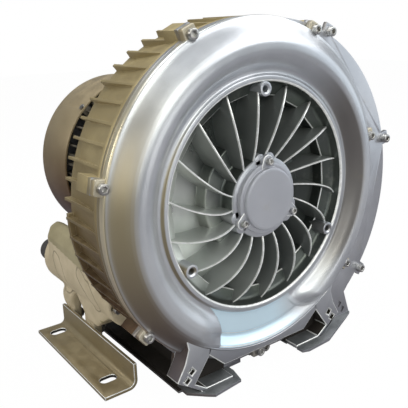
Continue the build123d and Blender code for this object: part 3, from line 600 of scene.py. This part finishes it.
# sections are (radius, depth) points; a taper is (share, start, end) along the arc;
# rightEnd and leftEnd are (radius, angle), the two ends of the stepped hollow
cover = {
    "back": 8.0, "floorY": 24.0, "ribs": 18, "ledgeR": 131.0, "polyPhase": 94.2,
    "lip": [(147.2, -10.8), (147.6, -12.2), (148.4, -13.1), (149.6, -13.5), (153.2, -13.5),
            (154.4, -13.0), (155.1, -12.2)],
    "torus": [(155.4, -11.6), (157.5, -9.8), (160.5, -9.4), (164.0, -11.0), (168.0, -15.4),
              (172.0, -19.8), (176.5, -23.3), (181.5, -26.0), (187.0, -27.0), (192.5, -26.5),
              (198.5, -24.2), (202.6, -21.4)],
    "cone": [(204.0, -20.2), (207.0, -17.6), (214.0, -10.8), (221.0, -4.6), (223.0, -3.6), (224.4, -2.6),
             (225.2, -1.2), (225.4, 0.4)],
    "torusEndR": 202.6, "creaseR": 204.0, "crease": 1.4,
    "hollow": [(155.4, -11.6), (157.5, -9.9), (160.5, -9.6), (172.0, -10.4), (183.2, -11.3),
               (184.6, -10.8), (185.8, -8.9), (188.6, -8.8), (193.0, -11.4), (197.6, -15.6),
               (199.4, -17.5), (202.6, -18.9)],
    "hollowAngles": (-140.0, -40.0), "hollowR": (157.0, 203.0), "hollowPast": (0.2, 3.0),
    "leftTaper": [(0.36, 0.0, 4.5), (0.64, 1.0, 46.0)],
    "rightTaper": [(0.12, 0.0, 3.0), (0.88, 0.0, 38.0)],
    "rightEnd": [(155.4, -75.6), (164.0, -74.4), (177.4, -72.3), (190.9, -68.8), (198.2, -64.6),
                 (201.4, -60.9), (204.0, -58.0)],
    "leftEnd": [(155.4, -126.4), (160.7, -121.5), (170.2, -116.7), (179.5, -114.2), (191.3, -113.2),
                (200.0, -113.6), (204.0, -114.6)],
    # brightSteps are the radii of the hollow's steps with a painted highlight, up to brightTo across
    "brightSteps": [(185.3, 186.8), (200.6, 201.8)], "brightTo": 40.0,
    "edge": [(225.4, 1.8), (225.0, 7.4), (224.4, 8.0), (207.5, 8.0)],
    "channel": [(165.0, 7.0), (167.5, -7.5), (172.5, -14.5), (179.5, -19.6), (187.0, -21.2),
                (194.5, -19.6), (201.0, -13.6), (205.0, -5.0), (206.5, 7.0)],
    "channelStarts": (-60.5, -56.5), "channelEnds": (125.3, 129.3),
    "bore": [(163.0, 8.0), (152.0, 8.0), (152.0, 29.0), (60.0, 29.0), (31.0, 29.0), (31.0, 11.0),
             (36.0, 11.0), (36.0, -13.0), (36.6, -13.5), (51.0, -13.5), (52.6, -12.8)],
    "dish": [(53.4, -11.2), (55.0, 4.0), (56.0, 6.6), (58.0, 8.0), (78.0, 8.0), (79.6, 9.2),
             (80.6, 12.0), (82.0, 22.0), (83.6, 24.0), (100.0, 24.0)],
    "wall": [(-3.4, 24.0), (-1.4, 23.2), (-0.9, 21.6), (-0.2, 8.0), (0.1, 7.0), (0.9, 6.4)],
    "ledge": [(139.5, 3.0), (143.4, 0.8), (145.0, -2.0)],
    "lipStrips": 3, "rimStrips": 4, "ledgeStrips": (6, 5),
    "fineFrom": -134.0, "fineStep": 0.35, "fineCount": 241, "restSweep": 276.0, "restCount": 220,
}
torusLine, coneLine = smoothLine(cover["torus"]), smoothLine(cover["cone"])
hollowLine, channelLine = smoothLine(cover["hollow"]), smoothLine(cover["channel"])
rightEnd, leftEnd = smoothLine(cover["rightEnd"]), smoothLine(cover["leftEnd"])
sweepAngles = [cover["fineFrom"] + cover["fineStep"] * k for k in range(cover["fineCount"])]
sweepAngles += [sweepAngles[-1] + cover["restSweep"] / cover["restCount"] * k
                for k in range(1, cover["restCount"])]
frontRadii = ([155.4, 156.0, 156.8, 157.6, 158.6] + [160.0 + 1.5 * k for k in range(16)]
              + [183.4, 184.0, 184.6, 185.2, 185.8, 186.6, 187.6, 188.6, 190.0, 191.5, 193.0, 194.5,
                 196.0, 197.2, 198.2, 199.0, 199.6, 200.4, 201.6, 202.6, 203.5, 204.0, 204.5]
              + [206.0, 209.0, 213.0, 218.0, 221.0, 222.0, 223.0, 223.8, 224.4, 224.9, 225.2, 225.4])
channelRadii = [206.5, 205.6, 204.0, 201.0, 197.5, 193.0, 187.0, 181.0, 176.0, 171.0, 167.5, 165.0]


def frontSurface(r, deg):
    # depth of the front: the torus, its two tapered ends and the stepped hollow between them
    if r > cover["creaseR"]:
        return coneLine(r)
    whole = torusLine(r)
    if r > cover["torusEndR"]:
        whole += (coneLine(cover["creaseR"]) - whole) * (r - cover["torusEndR"]) / cover["crease"]
    first, last = cover["hollowAngles"]
    if not first < deg < last:
        return whole
    low = hollowLine(r)
    arc = r * math.pi / 180
    left, right = (leftEnd(r) - deg) * arc, (deg - rightEnd(r)) * arc
    full = max(sum(share * blend(left, a, b) for share, a, b in cover["leftTaper"]),
               sum(share * blend(right, a, b) for share, a, b in cover["rightTaper"]))
    return low + (whole - low) * full


def coverSection(a):
    # right round the casting: lip, front, edge, channel, bore, dish and ledge
    deg = math.degrees(a)
    deg = deg - 360 if deg > 180 else deg
    front = [(r, frontSurface(r, deg)) for r in frontRadii]
    opened = blend(deg, *cover["channelStarts"]) + blend(-deg, *cover["channelEnds"])
    channel = [(r, cover["back"] - (cover["back"] - channelLine(r)) * opened) for r in channelRadii]
    pitch = 360.0 / cover["ribs"]
    turn = (deg - cover["polyPhase"]) % pitch - pitch / 2
    step = cover["ledgeR"] * math.cos(math.radians(pitch / 2)) / math.cos(math.radians(turn))
    wall = [(step + r, y) for r, y in cover["wall"]]
    return (cover["lip"] + front + cover["edge"] + channel + cover["bore"] + cover["dish"] + wall
            + cover["ledge"])


sectionCount = len(coverSection(0.0))
frontCount = len(cover["lip"]) + len(frontRadii)
dishAt = frontCount + len(cover["edge"]) + len(channelRadii) + len(cover["bore"])


def coverLook(k):
    # material of each strip of the section: 0 cover, 1 dish, 2 painted edge highlight, 3 rim with a painted
    # highlight
    if k < cover["lipStrips"] or sectionCount - k in cover["ledgeStrips"]:
        return 2
    if frontCount - cover["rimStrips"] <= k <= frontCount:
        return 3
    return 1 if k >= dishAt else 0


def inHollow(x, y, z, n):
    r, deg = math.hypot(x, z), math.degrees(math.atan2(z, x))
    low, high = cover["hollowR"]
    pastLeft, pastRight = cover["hollowPast"]
    return (n.y < -0.2 and low < r < high and y < 0
            and leftEnd(r) - pastLeft < deg < rightEnd(r) + pastRight)


# painted highlight on the hollow's two small steps, in its left part
def onHighlightStep(x, y, z, n):
    r = math.hypot(x, z)
    return x < cover["brightTo"] and inHollow(x, y, z, n) and any(
        low < r < high for low, high in cover["brightSteps"])


coverShell = newPiece("coverShell", [spun(coverSection, sweepAngles, closed=True, looks=coverLook)],
                      [coverSilver, dishSilver, edgeHighlight, rimHighlight])
settle(coverShell, 38.0)
# painted reflection on the stepped hollow, painted highlights on its two small steps
toned(coverShell, hollowSkyReflection, inHollow)
toned(coverShell, edgeHighlight, onHighlightStep)
print("cover shell done")

dishRib = {"hub": 51.0, "wall": 146.0, "sweep": 17.6, "outer": 91.2, "top": [-10.6, -20.9, -3.6],
           "thick": 2.0, "foot": 3.4, "floorY": 25.0, "along": 16}


def ribMesh(across):
    # one curved rib; across lists (side, depth), side in widths and depth from top to floor
    rib = dishRib
    verts, faces = [], []
    a0, a1, a2 = rib["top"]
    for k in range(rib["along"] + 1):
        t = k / rib["along"]
        r = rib["hub"] + (rib["wall"] - rib["hub"]) * t
        deg = rib["sweep"] * (1 - t)
        top = a0 * (1 - t) * (1 - 2 * t) + a1 * 4 * t * (1 - t) + a2 * t * (2 * t - 1)
        for side, depth in across:
            y = top + (rib["floorY"] - top) * depth
            wide = rib["thick"] + (rib["foot"] - rib["thick"]) * depth
            a = math.radians(deg) + side * wide / r
            verts.append(place(r * math.cos(a), y, r * math.sin(a)))
    n = len(across)
    for k in range(rib["along"]):
        for j in range(n):
            m = (j + 1) % n
            faces.append((k * n + j, k * n + m, (k + 1) * n + m, (k + 1) * n + j))
    faces += [tuple(range(n)), tuple(range(rib["along"] * n + n - 1, rib["along"] * n - 1, -1))]
    return verts, faces, [0] * len(faces)


ribWalls = [(-0.5, 1.0), (-0.5, 0.03), (-0.3, 0.0), (0.3, 0.0), (0.5, 0.03), (0.5, 1.0)]
ribCrest = [(-0.52, 0.05), (-0.52, 0.02), (-0.3, -0.006), (0.3, -0.006), (0.52, 0.02), (0.52, 0.05)]
dishRibs = around(newPiece("dishRibs", [ribMesh(ribWalls)], [ribSilver]), cover["ribs"],
                  dishRib["outer"], ribSilver)
# a thin skin over the rib tops with a painted highlight
ribCrests = around(newPiece("ribCrests", [ribMesh(ribCrest)], [edgeHighlight]), cover["ribs"],
                   dishRib["outer"], edgeHighlight)


def roundBoss(x, z, r, y0, y1, hole=0.0, deep=0.0, edge=0.8):
    # a round boss along the axis, with a blind hole where asked
    section = [(r, y1), (r, y0 + edge), (r - edge * 0.3, y0 + edge * 0.3), (r - edge, y0)]
    if hole:
        section += [(hole + 2.0, y0), (hole, y0 + 1.8), (hole, y0 + deep), (0.0, y0 + deep + 1.5)]
    else:
        section += [(0.0, y0)]
    verts, faces, marks = spun(lambda a: section, 40)
    verts = [(vx + x / 1000, vy, vz + z / 1000) for vx, vy, vz in verts]
    return verts, faces, marks


def polar(r, deg):
    return r * math.cos(math.radians(deg)), r * math.sin(math.radians(deg))


earAngles = (90.0, -30.0, -150.0)
coverAngles = [-90 + 360 / 7 * k for k in range(7)]
boss = {"hoodR": 138.4, "hoodSize": 9.2, "hoodY": -16.2, "hoodHole": 4.25, "hoodDeep": 22.0,
        "hoodEdge": 1.2, "lobeR": 50.5, "lobeSize": 8.5, "lobeY": -13.5, "lobeTurn": 9.0}
lug = {"screwR": 228.3, "half": 9.6, "base": 11.1, "root": 212.0, "corner": 3.0, "front": -0.4}
hoodBosses = [roundBoss(*polar(boss["hoodR"], a), boss["hoodSize"], boss["hoodY"], cover["floorY"],
                        boss["hoodHole"], boss["hoodDeep"], boss["hoodEdge"]) for a in earAngles]
hubLobes = [roundBoss(*polar(boss["lobeR"], a + turn), boss["lobeSize"], boss["lobeY"], cover["floorY"])
            for a in earAngles for turn in (-boss["lobeTurn"], boss["lobeTurn"])]
smallBosses = newPiece("coverBosses", hoodBosses + hubLobes, [coverSilver])
settle(smallBosses, 40.0)


def lugOutline(r, deg, half, base, root, corner):
    # square lug with rounded outer corners that grows out of the rim
    pts = []
    for side in (1, -1):
        for t in (0, 30, 60, 90):
            turn = math.radians(t if side < 0 else 90 - t)
            pts.append((r + half - corner + corner * math.cos(turn),
                        side * (half - corner + corner * math.sin(turn))))
    pts += [(root, -base), (root, base)]
    c, s = math.cos(math.radians(deg)), math.sin(math.radians(deg))
    return [(u * c - v * s, u * s + v * c) for u, v in pts]


coverLugs = newPiece("coverLugs", [
    prism(lugOutline(lug["screwR"], a, lug["half"], lug["base"], lug["root"], lug["corner"]),
          lug["front"], cover["back"]) for a in coverAngles], [lugPaint])
bevelled(coverLugs, 1.4, segments=3, limit=40.0)

foot = {
    "wall": [(118, -152), (133, -158), (130.5, -171), (136.5, -190), (149.5, -212), (106.5, -242),
             (60, -242), (60, -236.5), (104.6, -236.5), (122.5, -224.0), (98, -190), (90, -172)],
    "front": -17.6, "recess": [(127.0, -203.5), (134.5, -214.0)], "recessHalf": (4.2, 4.4),
    "recessDeep": 7.0, "recessShade": 5.5, "tilt": 38.0,
    "pocket": [(58, -212), (58, -238), (106, -238), (124, -224), (100, -188), (84, -200)],
    "pocketY": (5.6, 7.6), "innerZ": (-237, -176), "innerX": 124,
    "band": [(-98, -176), (98, -176), (101, -189), (74, -214), (-74, -214), (-101, -189)],
    "bandCut": [(0.0, -40.0), (199.6, -40.0), (199.6, 30.0), (0.0, 30.0)],
}


def footPiece(side):
    def dark(x, y, z, n):
        # painted shade: the foot's back, the walls round its pocket and the recesses are near-black
        inner = foot["innerZ"][0] < z < foot["innerZ"][1] and abs(x) < foot["innerX"]
        recess = any(math.hypot(abs(x) - a, z - b) < foot["recessShade"] for a, b in foot["recess"])
        return n.y < -0.7 and y > -12.0 or y > -17 and (inner and n.x * side < -0.3 or recess)

    wall = [(x * side, z) for x, z in foot["wall"]]
    piece = newPiece("coverFoot", [prism(wall, foot["front"], cover["back"])], [coverSilver])
    c, s = math.cos(math.radians(foot["tilt"])), math.sin(math.radians(foot["tilt"]))
    u, v = foot["recessHalf"]
    for x, z in foot["recess"]:
        corners = [(side * (x + a * c + b * s), z - a * s + b * c)
                   for a, b in ((-u, -v), (u, -v), (u, v), (-u, v))]
        deep = prism(corners, foot["front"] - 3, foot["front"] + foot["recessDeep"])
        cutBy(piece, newPiece("cutter", [deep], [blackRubber]))
    toned(piece, paintedShadow, dark)
    # painted shade on the tops of the soles
    toned(piece, soleShade, lambda x, y, z, n: n.z > 0.9 and z < -230)
    # painted highlight on the bevelled edges
    bevelled(piece, 1.1, segments=3, edge=edgeHighlight)
    pocket = [(x * side, z) for x, z in foot["pocket"]]
    # a near-black sheet behind the pocket: painted shade
    shadowSheet = settle(newPiece("pocketBack", [prism(pocket, *foot["pocketY"])], [paintedShadow]))
    return joinedInto(piece, [shadowSheet])


band = newPiece("coverBand", [prism(foot["band"], foot["front"], cover["back"])], [coverSilver])
cutBy(band, newPiece("cutter", [spun(lambda a: foot["bandCut"], 180)], [coverSilver]))
tidyMesh(band.data)
# painted highlight on the bevelled edges
bevelled(band, 1.4, segments=3, limit=40.0, edge=edgeHighlight)
coverCasting = joinedInto(coverShell, [dishRibs, ribCrests, smallBosses, coverLugs, footPiece(1),
                                       footPiece(-1), band])
coverCasting.name = "coverCasting"
stands(coverCasting, "front_cover")
print("cover casting done")


# Bearing cap

cap = {
    "disc": [(0.0, -25.2), (36.6, -25.2), (38.8, -25.0), (40.2, -24.2), (40.8, -22.8), (41.0, -20.3),
             (41.6, -19.7), (45.4, -19.7), (46.3, -19.2), (46.6, -18.2), (46.6, -13.5), (35.9, -13.5),
             (35.9, -8.0), (30.0, -8.0), (30.0, -19.0), (0.0, -19.0)],
    "earR": 49.0, "earHalf": 8.2, "earBase": 11.0, "earRoot": 40.0, "earCorner": 7.6,
    "earFront": -20.1, "base": -13.5, "seat": -19.9,
}
capDisc = settle(newPiece("capDisc", [spun(lambda a: cap["disc"], 96)], [capGrey]))
capEars = newPiece("capEars", [
    prism(lugOutline(cap["earR"], a, cap["earHalf"], cap["earBase"], cap["earRoot"], cap["earCorner"]),
          cap["earFront"], cap["base"]) for a in earAngles], [capGrey])
# painted highlight on the bevelled edges
bevelled(capEars, 0.9, segments=3, limit=40.0, edge=edgeHighlight)
bearingCap = joinedInto(capDisc, [capEars])
bearingCap.name = "bearingCap"
stands(bearingCap, "bearing_cap")
print("bearing cap done")


# Screws

screws = {"M8": {"r": 3.9, "head": 6.5, "tall": 8.0, "hexR": 3.0, "shank": 5.0},
          "M6": {"r": 2.9, "head": 5.0, "tall": 6.0, "hexR": 2.5, "shank": 5.0}}
ringScrew = {"x": 33.8, "z": -17.0, "r": 242.3, "y": 8.0, "angles": (-38.0, 13.5, 64.9),
             "low": (17.0, 8.0, -231.0)}


def socketScrew(name, r, head, tall, hexR, shank):
    # head with a rounded rim and a real hexagon socket; seat at y = 0, head towards the front
    def section(a):
        turn = math.degrees(a) % 60 - 30
        flat = hexR / math.cos(math.radians(turn))
        return [(0.0, shank), (r, shank), (r, 0.0), (head, 0.0), (head, -tall * 0.84),
                (head * 0.96, -tall * 0.95), (head * 0.86, -tall), (flat * 1.16, -tall),
                (flat, -tall * 0.93), (flat, -tall * 0.42), (0.0, -tall * 0.36)]
    verts, faces, marks = spun(section, 36)
    piece = newPiece(name, [([(x, y - frontY, z - axisZ) for x, y, z in verts], faces, marks)], [zincSteel])
    return settle(piece, 35.0)


def onCircle(r, y, angles, x=0.0, z=0.0):
    return [(x + polar(r, a)[0], y, z + polar(r, a)[1]) for a in angles]


screwM8, screwM6 = socketScrew("screwM8", **screws["M8"]), socketScrew("screwM6", **screws["M6"])
ringPoints = onCircle(ringScrew["r"], ringScrew["y"], ringScrew["angles"], ringScrew["x"], ringScrew["z"])
for name, node, points, screw in (
        ("coverScrews", "cover_screws", onCircle(lug["screwR"], 0.0, coverAngles), screwM8),
        ("ringScrews", "casing_ring_screws", ringPoints + [ringScrew["low"]], screwM8),
        ("capScrews", "cap_screws", onCircle(cap["earR"], cap["seat"], earAngles), screwM6)):
    stands(onPoints(name, points, screw, zincSteel), node)
for spare in (screwM8, screwM6):
    bpy.data.objects.remove(spare)
print("screws done")


# Casings, motor and feet: the CAD shapes with soft edges

# near-black plates on the floor under the casing: painted shadow, with a painted highlight on their edges
floorShadow = {"out": 136.0, "in": 58.0, "front": 2.0, "back": 232.0, "low": -242.0, "high": -239.4}
skidPlates = newPiece("skidPlates", [
    prism([(side * floorShadow["in"], floorShadow["low"]), (side * floorShadow["out"], floorShadow["low"]),
           (side * floorShadow["out"], floorShadow["high"]), (side * floorShadow["in"], floorShadow["high"])],
          floorShadow["front"], floorShadow["back"]) for side in (-1, 1)], [paintedShadow])
bevelled(skidPlates, 0.6, edge=plateSilver)
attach(skidPlates, "housing")


# painted shade on the tops of the ring's soles
def onRingSole(x, y, z, n):
    return z < -236 and n.z > 0.9


def underCasing(x, y, z, n):
    # painted shade: near-black between the casing's rails and its round part
    return z < -178 and 60 < abs(x) < 132 and y > 15


toned(dressed("casing_ring", 1.1, plateSilver), soleShade, onRingSole)
# painted shade under the casing, painted highlight on its edges
toned(dressed("rear_casing", 0.8, casingOlive, oliveEdgeHighlight), paintedShadow, underCasing)
dressed("motor_frame", 0.5, finDark)
for name, width in (("terminal_box", 0.8), ("terminal_lid", 0.8), ("cable_gland", 0.5),
                    ("rear_shield", 0.8)):
    dressed(name, width)
dressed("fan_cowl", 0.6, cowlBrown)
print("casings and motor done")

bracket = {"in": 169.8, "thick": 5.0, "out": 218.7, "top": -205.0, "floor": -242.0, "bend": 13.0,
           "front": 47.0, "rear": 273.7, "slots": (84.0, 250.0), "slotX": 195.0, "slot": (24.0, 14.0),
           "studs": (187.0, 256.0), "studZ": -219.0, "stud": [(171.0, 3.95), (145.2, 3.95), (143.9, 2.9)],
           "sides": 20}


def roundStud(side, y):
    # weld stud that points inward, with a chamfered end
    verts, faces, n = [], [], bracket["sides"]
    for x, r in bracket["stud"]:
        verts += [place(side * x, y + r * math.cos(2 * math.pi * k / n),
                        bracket["studZ"] + r * math.sin(2 * math.pi * k / n)) for k in range(n)]
    for low in (0, n):
        faces += [(low + k, low + (k + 1) % n, low + n + (k + 1) % n, low + n + k) for k in range(n)]
    faces += [tuple(range(n)), tuple(range(3 * n - 1, 2 * n - 1, -1))]
    return settle(newPiece("stud", [(verts, faces, [0] * len(faces))], [zincSteel]))


def slotCutter(side, y):
    # upright cutter with round ends, through the sole
    long, wide = bracket["slot"]
    outline = [(bracket["slotX"] + s * (long - wide) / 2 + wide / 2 * math.cos(math.radians(t)),
                y + wide / 2 * math.sin(math.radians(t)))
               for s, turn in ((1, range(-90, 91, 15)), (-1, range(90, 271, 15))) for t in turn]
    n = len(outline)
    verts = [place(x * side, v, bracket["floor"] + z) for z in (-4, 9) for x, v in outline]
    faces = [tuple(range(n)), tuple(range(2 * n - 1, n - 1, -1))]
    faces += [(k, (k + 1) % n, (k + 1) % n + n, k + n) for k in range(n)]
    return newPiece("cutter", [(verts, faces, [0] * len(faces))], [bracketPaint])


# painted shade inside the slots
def inSlot(x, y, z, n):
    return -241 < z < -238 and 182 < abs(x) < 208 and abs(n.z) < 0.5


def bracketPiece(side, name, node):
    # bent sheet: upright flange, generous bend, sole with two slots across
    b = bracket
    cx, cz = b["in"] + b["bend"], b["floor"] + b["bend"]
    outer, inner = [[(cx - r * math.cos(math.radians(t)), cz - r * math.sin(math.radians(t)))
                     for t in turn]
                    for r, turn in ((b["bend"], range(0, 91, 10)),
                                    (b["bend"] - b["thick"], range(90, -1, -10)))]
    outline = [(b["in"], b["top"]), *outer, (b["out"], b["floor"]), (b["out"], b["floor"] + b["thick"]),
               *inner, (b["in"] + b["thick"], b["top"])]
    piece = newPiece("bracketSheet", [prism([(x * side, z) for x, z in outline], b["front"], b["rear"])],
                     [bracketPaint])
    for y in b["slots"]:
        cutBy(piece, slotCutter(side, y))
    toned(piece, paintedShadow, inSlot)
    studs = [roundStud(side, y) for y in b["studs"]]
    # painted highlight on the bevelled edges
    bevelled(piece, 0.8, limit=40.0, edge=edgeHighlight)
    piece = joinedInto(piece, studs)
    piece.name = name
    return stands(piece, node)


bracketPiece(1, "bracketRight", "bracket_right")
bracketPiece(-1, "bracketLeft", "bracket_left")
print("brackets done")


def cast(name, mat, voxel, rounds):
    # a casting: its edges run into one another
    mesh = nodes[name].data.copy()
    tidyMesh(mesh, 2e-6)
    piece = linked(name + "Cast", mesh)
    melt = piece.modifiers.new("melt", "REMESH")
    melt.mode, melt.voxel_size = "VOXEL", voxel / 1000
    soft = piece.modifiers.new("soft", "SMOOTH")
    soft.factor, soft.iterations = 0.6, rounds
    settle(piece, 180.0)
    piece.data.materials.clear()
    piece.data.materials.append(mat)
    return stands(piece, name)


def onShadedPart(x, y, z, n):
    # painted shade: the silencers' top and the front of their feet are a darker olive
    return z > -112 + (y - 200) * 0.12 or y < 140 and z < -180


for name in ("silencer_left", "silencer_right"):
    toned(cast(name, silencerBeige, voxel=1.7, rounds=14), silencerShade, onShadedPart)
print("silencers done")


# Floor, light and camera

def floorLook():
    # white to the camera, pale grey to the light, darker in the object's reflections
    net = Net("paleFloor", Roughness=0.9)
    seen = net.add("ShaderNodeLightPath", out="Is Camera Ray")
    glow = net.tree.nodes.new("ShaderNodeEmission")
    glow.inputs["Color"].default_value = (1, 1, 1, 1)
    join = net.tree.nodes.new("ShaderNodeMixShader")
    end = next(n for n in net.tree.nodes if n.type == "OUTPUT_MATERIAL")
    net.put(join.inputs[0], seen * 0.985)
    net.tree.links.new(net.shader.outputs[0], join.inputs[1])
    net.tree.links.new(glow.outputs[0], join.inputs[2])
    net.tree.links.new(join.outputs[0], end.inputs[0])
    shine = net.add("ShaderNodeLightPath", out="Is Glossy Ray")
    return net.ends(Base_Color=net.mix(shine, (0.84, 0.84, 0.84), (0.20, 0.19, 0.21)))


floorHalf, floorZ = 6, -0.0005
floorCorners = [(x * floorHalf, y * floorHalf, floorZ) for x, y in ((-1, -1), (1, -1), (1, 1), (-1, 1))]
floor = newPiece("floor", [(floorCorners, [(0, 1, 2, 3)], [0])], [floorLook()])

world = bpy.data.worlds.new("room")
bpy.context.scene.world = world
world.use_nodes = True
tree = world.node_tree
tree.nodes.clear()
rays = tree.nodes.new("ShaderNodeLightPath")
white, room = tree.nodes.new("ShaderNodeBackground"), tree.nodes.new("ShaderNodeBackground")
for backdrop, tone, strength in ((white, (1, 1, 1, 1), 1.0), (room, (0.80, 0.84, 0.88, 1), 0.30)):
    backdrop.inputs["Color"].default_value = tone
    backdrop.inputs["Strength"].default_value = strength
pick, worldEnd = tree.nodes.new("ShaderNodeMixShader"), tree.nodes.new("ShaderNodeOutputWorld")
tree.links.new(rays.outputs["Is Camera Ray"], pick.inputs[0])
tree.links.new(room.outputs[0], pick.inputs[1])
tree.links.new(white.outputs[0], pick.inputs[2])
tree.links.new(pick.outputs[0], worldEnd.inputs[0])

lamps = {
    "front": {"at": (-1.35, -2.4, 0.85), "size": 1.0, "power": 6.0, "tone": (0.97, 1.0, 1.0)},
    "window": {"at": (-0.5, -2.1, 1.75), "size": 1.2, "power": 18.0, "tone": (1.0, 1.0, 0.90)},
    "low": {"at": (0.6, -2.1, 0.3), "size": 0.6, "power": 3.0, "tone": (1.0, 1.0, 0.97)},
    "right": {"at": (2.3, -0.95, 0.6), "size": 1.9, "power": 12.0, "tone": (0.86, 0.94, 1.0)},
    "key": {"at": (1.1, -1.45, 2.0), "size": 1.6, "power": 22.0, "tone": (1.0, 1.0, 0.99)},
    "over": {"at": (1.7, -0.35, 1.9), "size": 1.4, "power": 14.0, "tone": (1.0, 1.0, 1.0)},
    "left": {"at": (-2.1, -1.1, 0.9), "size": 1.3, "power": 8.0, "tone": (1.0, 0.96, 0.86)},
    "top": {"at": (-0.4, 0.3, 2.3), "size": 1.8, "power": 26.0, "tone": (1.0, 1.0, 0.98)},
    "rim": {"at": (-2.1, 1.2, 1.2), "size": 1.0, "power": 10.0, "tone": (1.0, 0.96, 0.88)},
}
for name, lamp in lamps.items():
    light = bpy.data.lights.new(name, "AREA")
    light.energy, light.size, light.color = lamp["power"], lamp["size"], lamp["tone"]
    holder = linked(name, light)
    holder.location = lamp["at"]
    aim = Vector((0, 0, axisZ)) - Vector(lamp["at"])
    holder.rotation_euler = aim.to_track_quat("-Z", "Y").to_euler()

shot = {"at": (-0.48789, -0.71335, 0.45280), "yaw": 36.23, "pitch": 16.81, "roll": -1.72, "lens": 51.17,
        "sensor": 36.0}
yaw, pitch, roll = (math.radians(shot[k]) for k in ("yaw", "pitch", "roll"))
ahead = Vector((math.sin(yaw) * math.cos(pitch), math.cos(yaw) * math.cos(pitch), -math.sin(pitch)))
side = Vector((math.cos(yaw), -math.sin(yaw), 0))
over = side.cross(ahead)
across = side * math.cos(roll) + over * math.sin(roll)
upward = over * math.cos(roll) - side * math.sin(roll)
lens = bpy.data.cameras.new("photoLens")
lens.lens, lens.sensor_width = shot["lens"], shot["sensor"]
camera = linked("photoCamera", lens)
turn = Matrix((across, upward, -ahead)).transposed().to_4x4()
camera.matrix_world = Matrix.Translation(shot["at"]) @ turn
bpy.context.scene.camera = camera
bpy.context.scene.view_settings.view_transform = "Standard"

print("scene done")
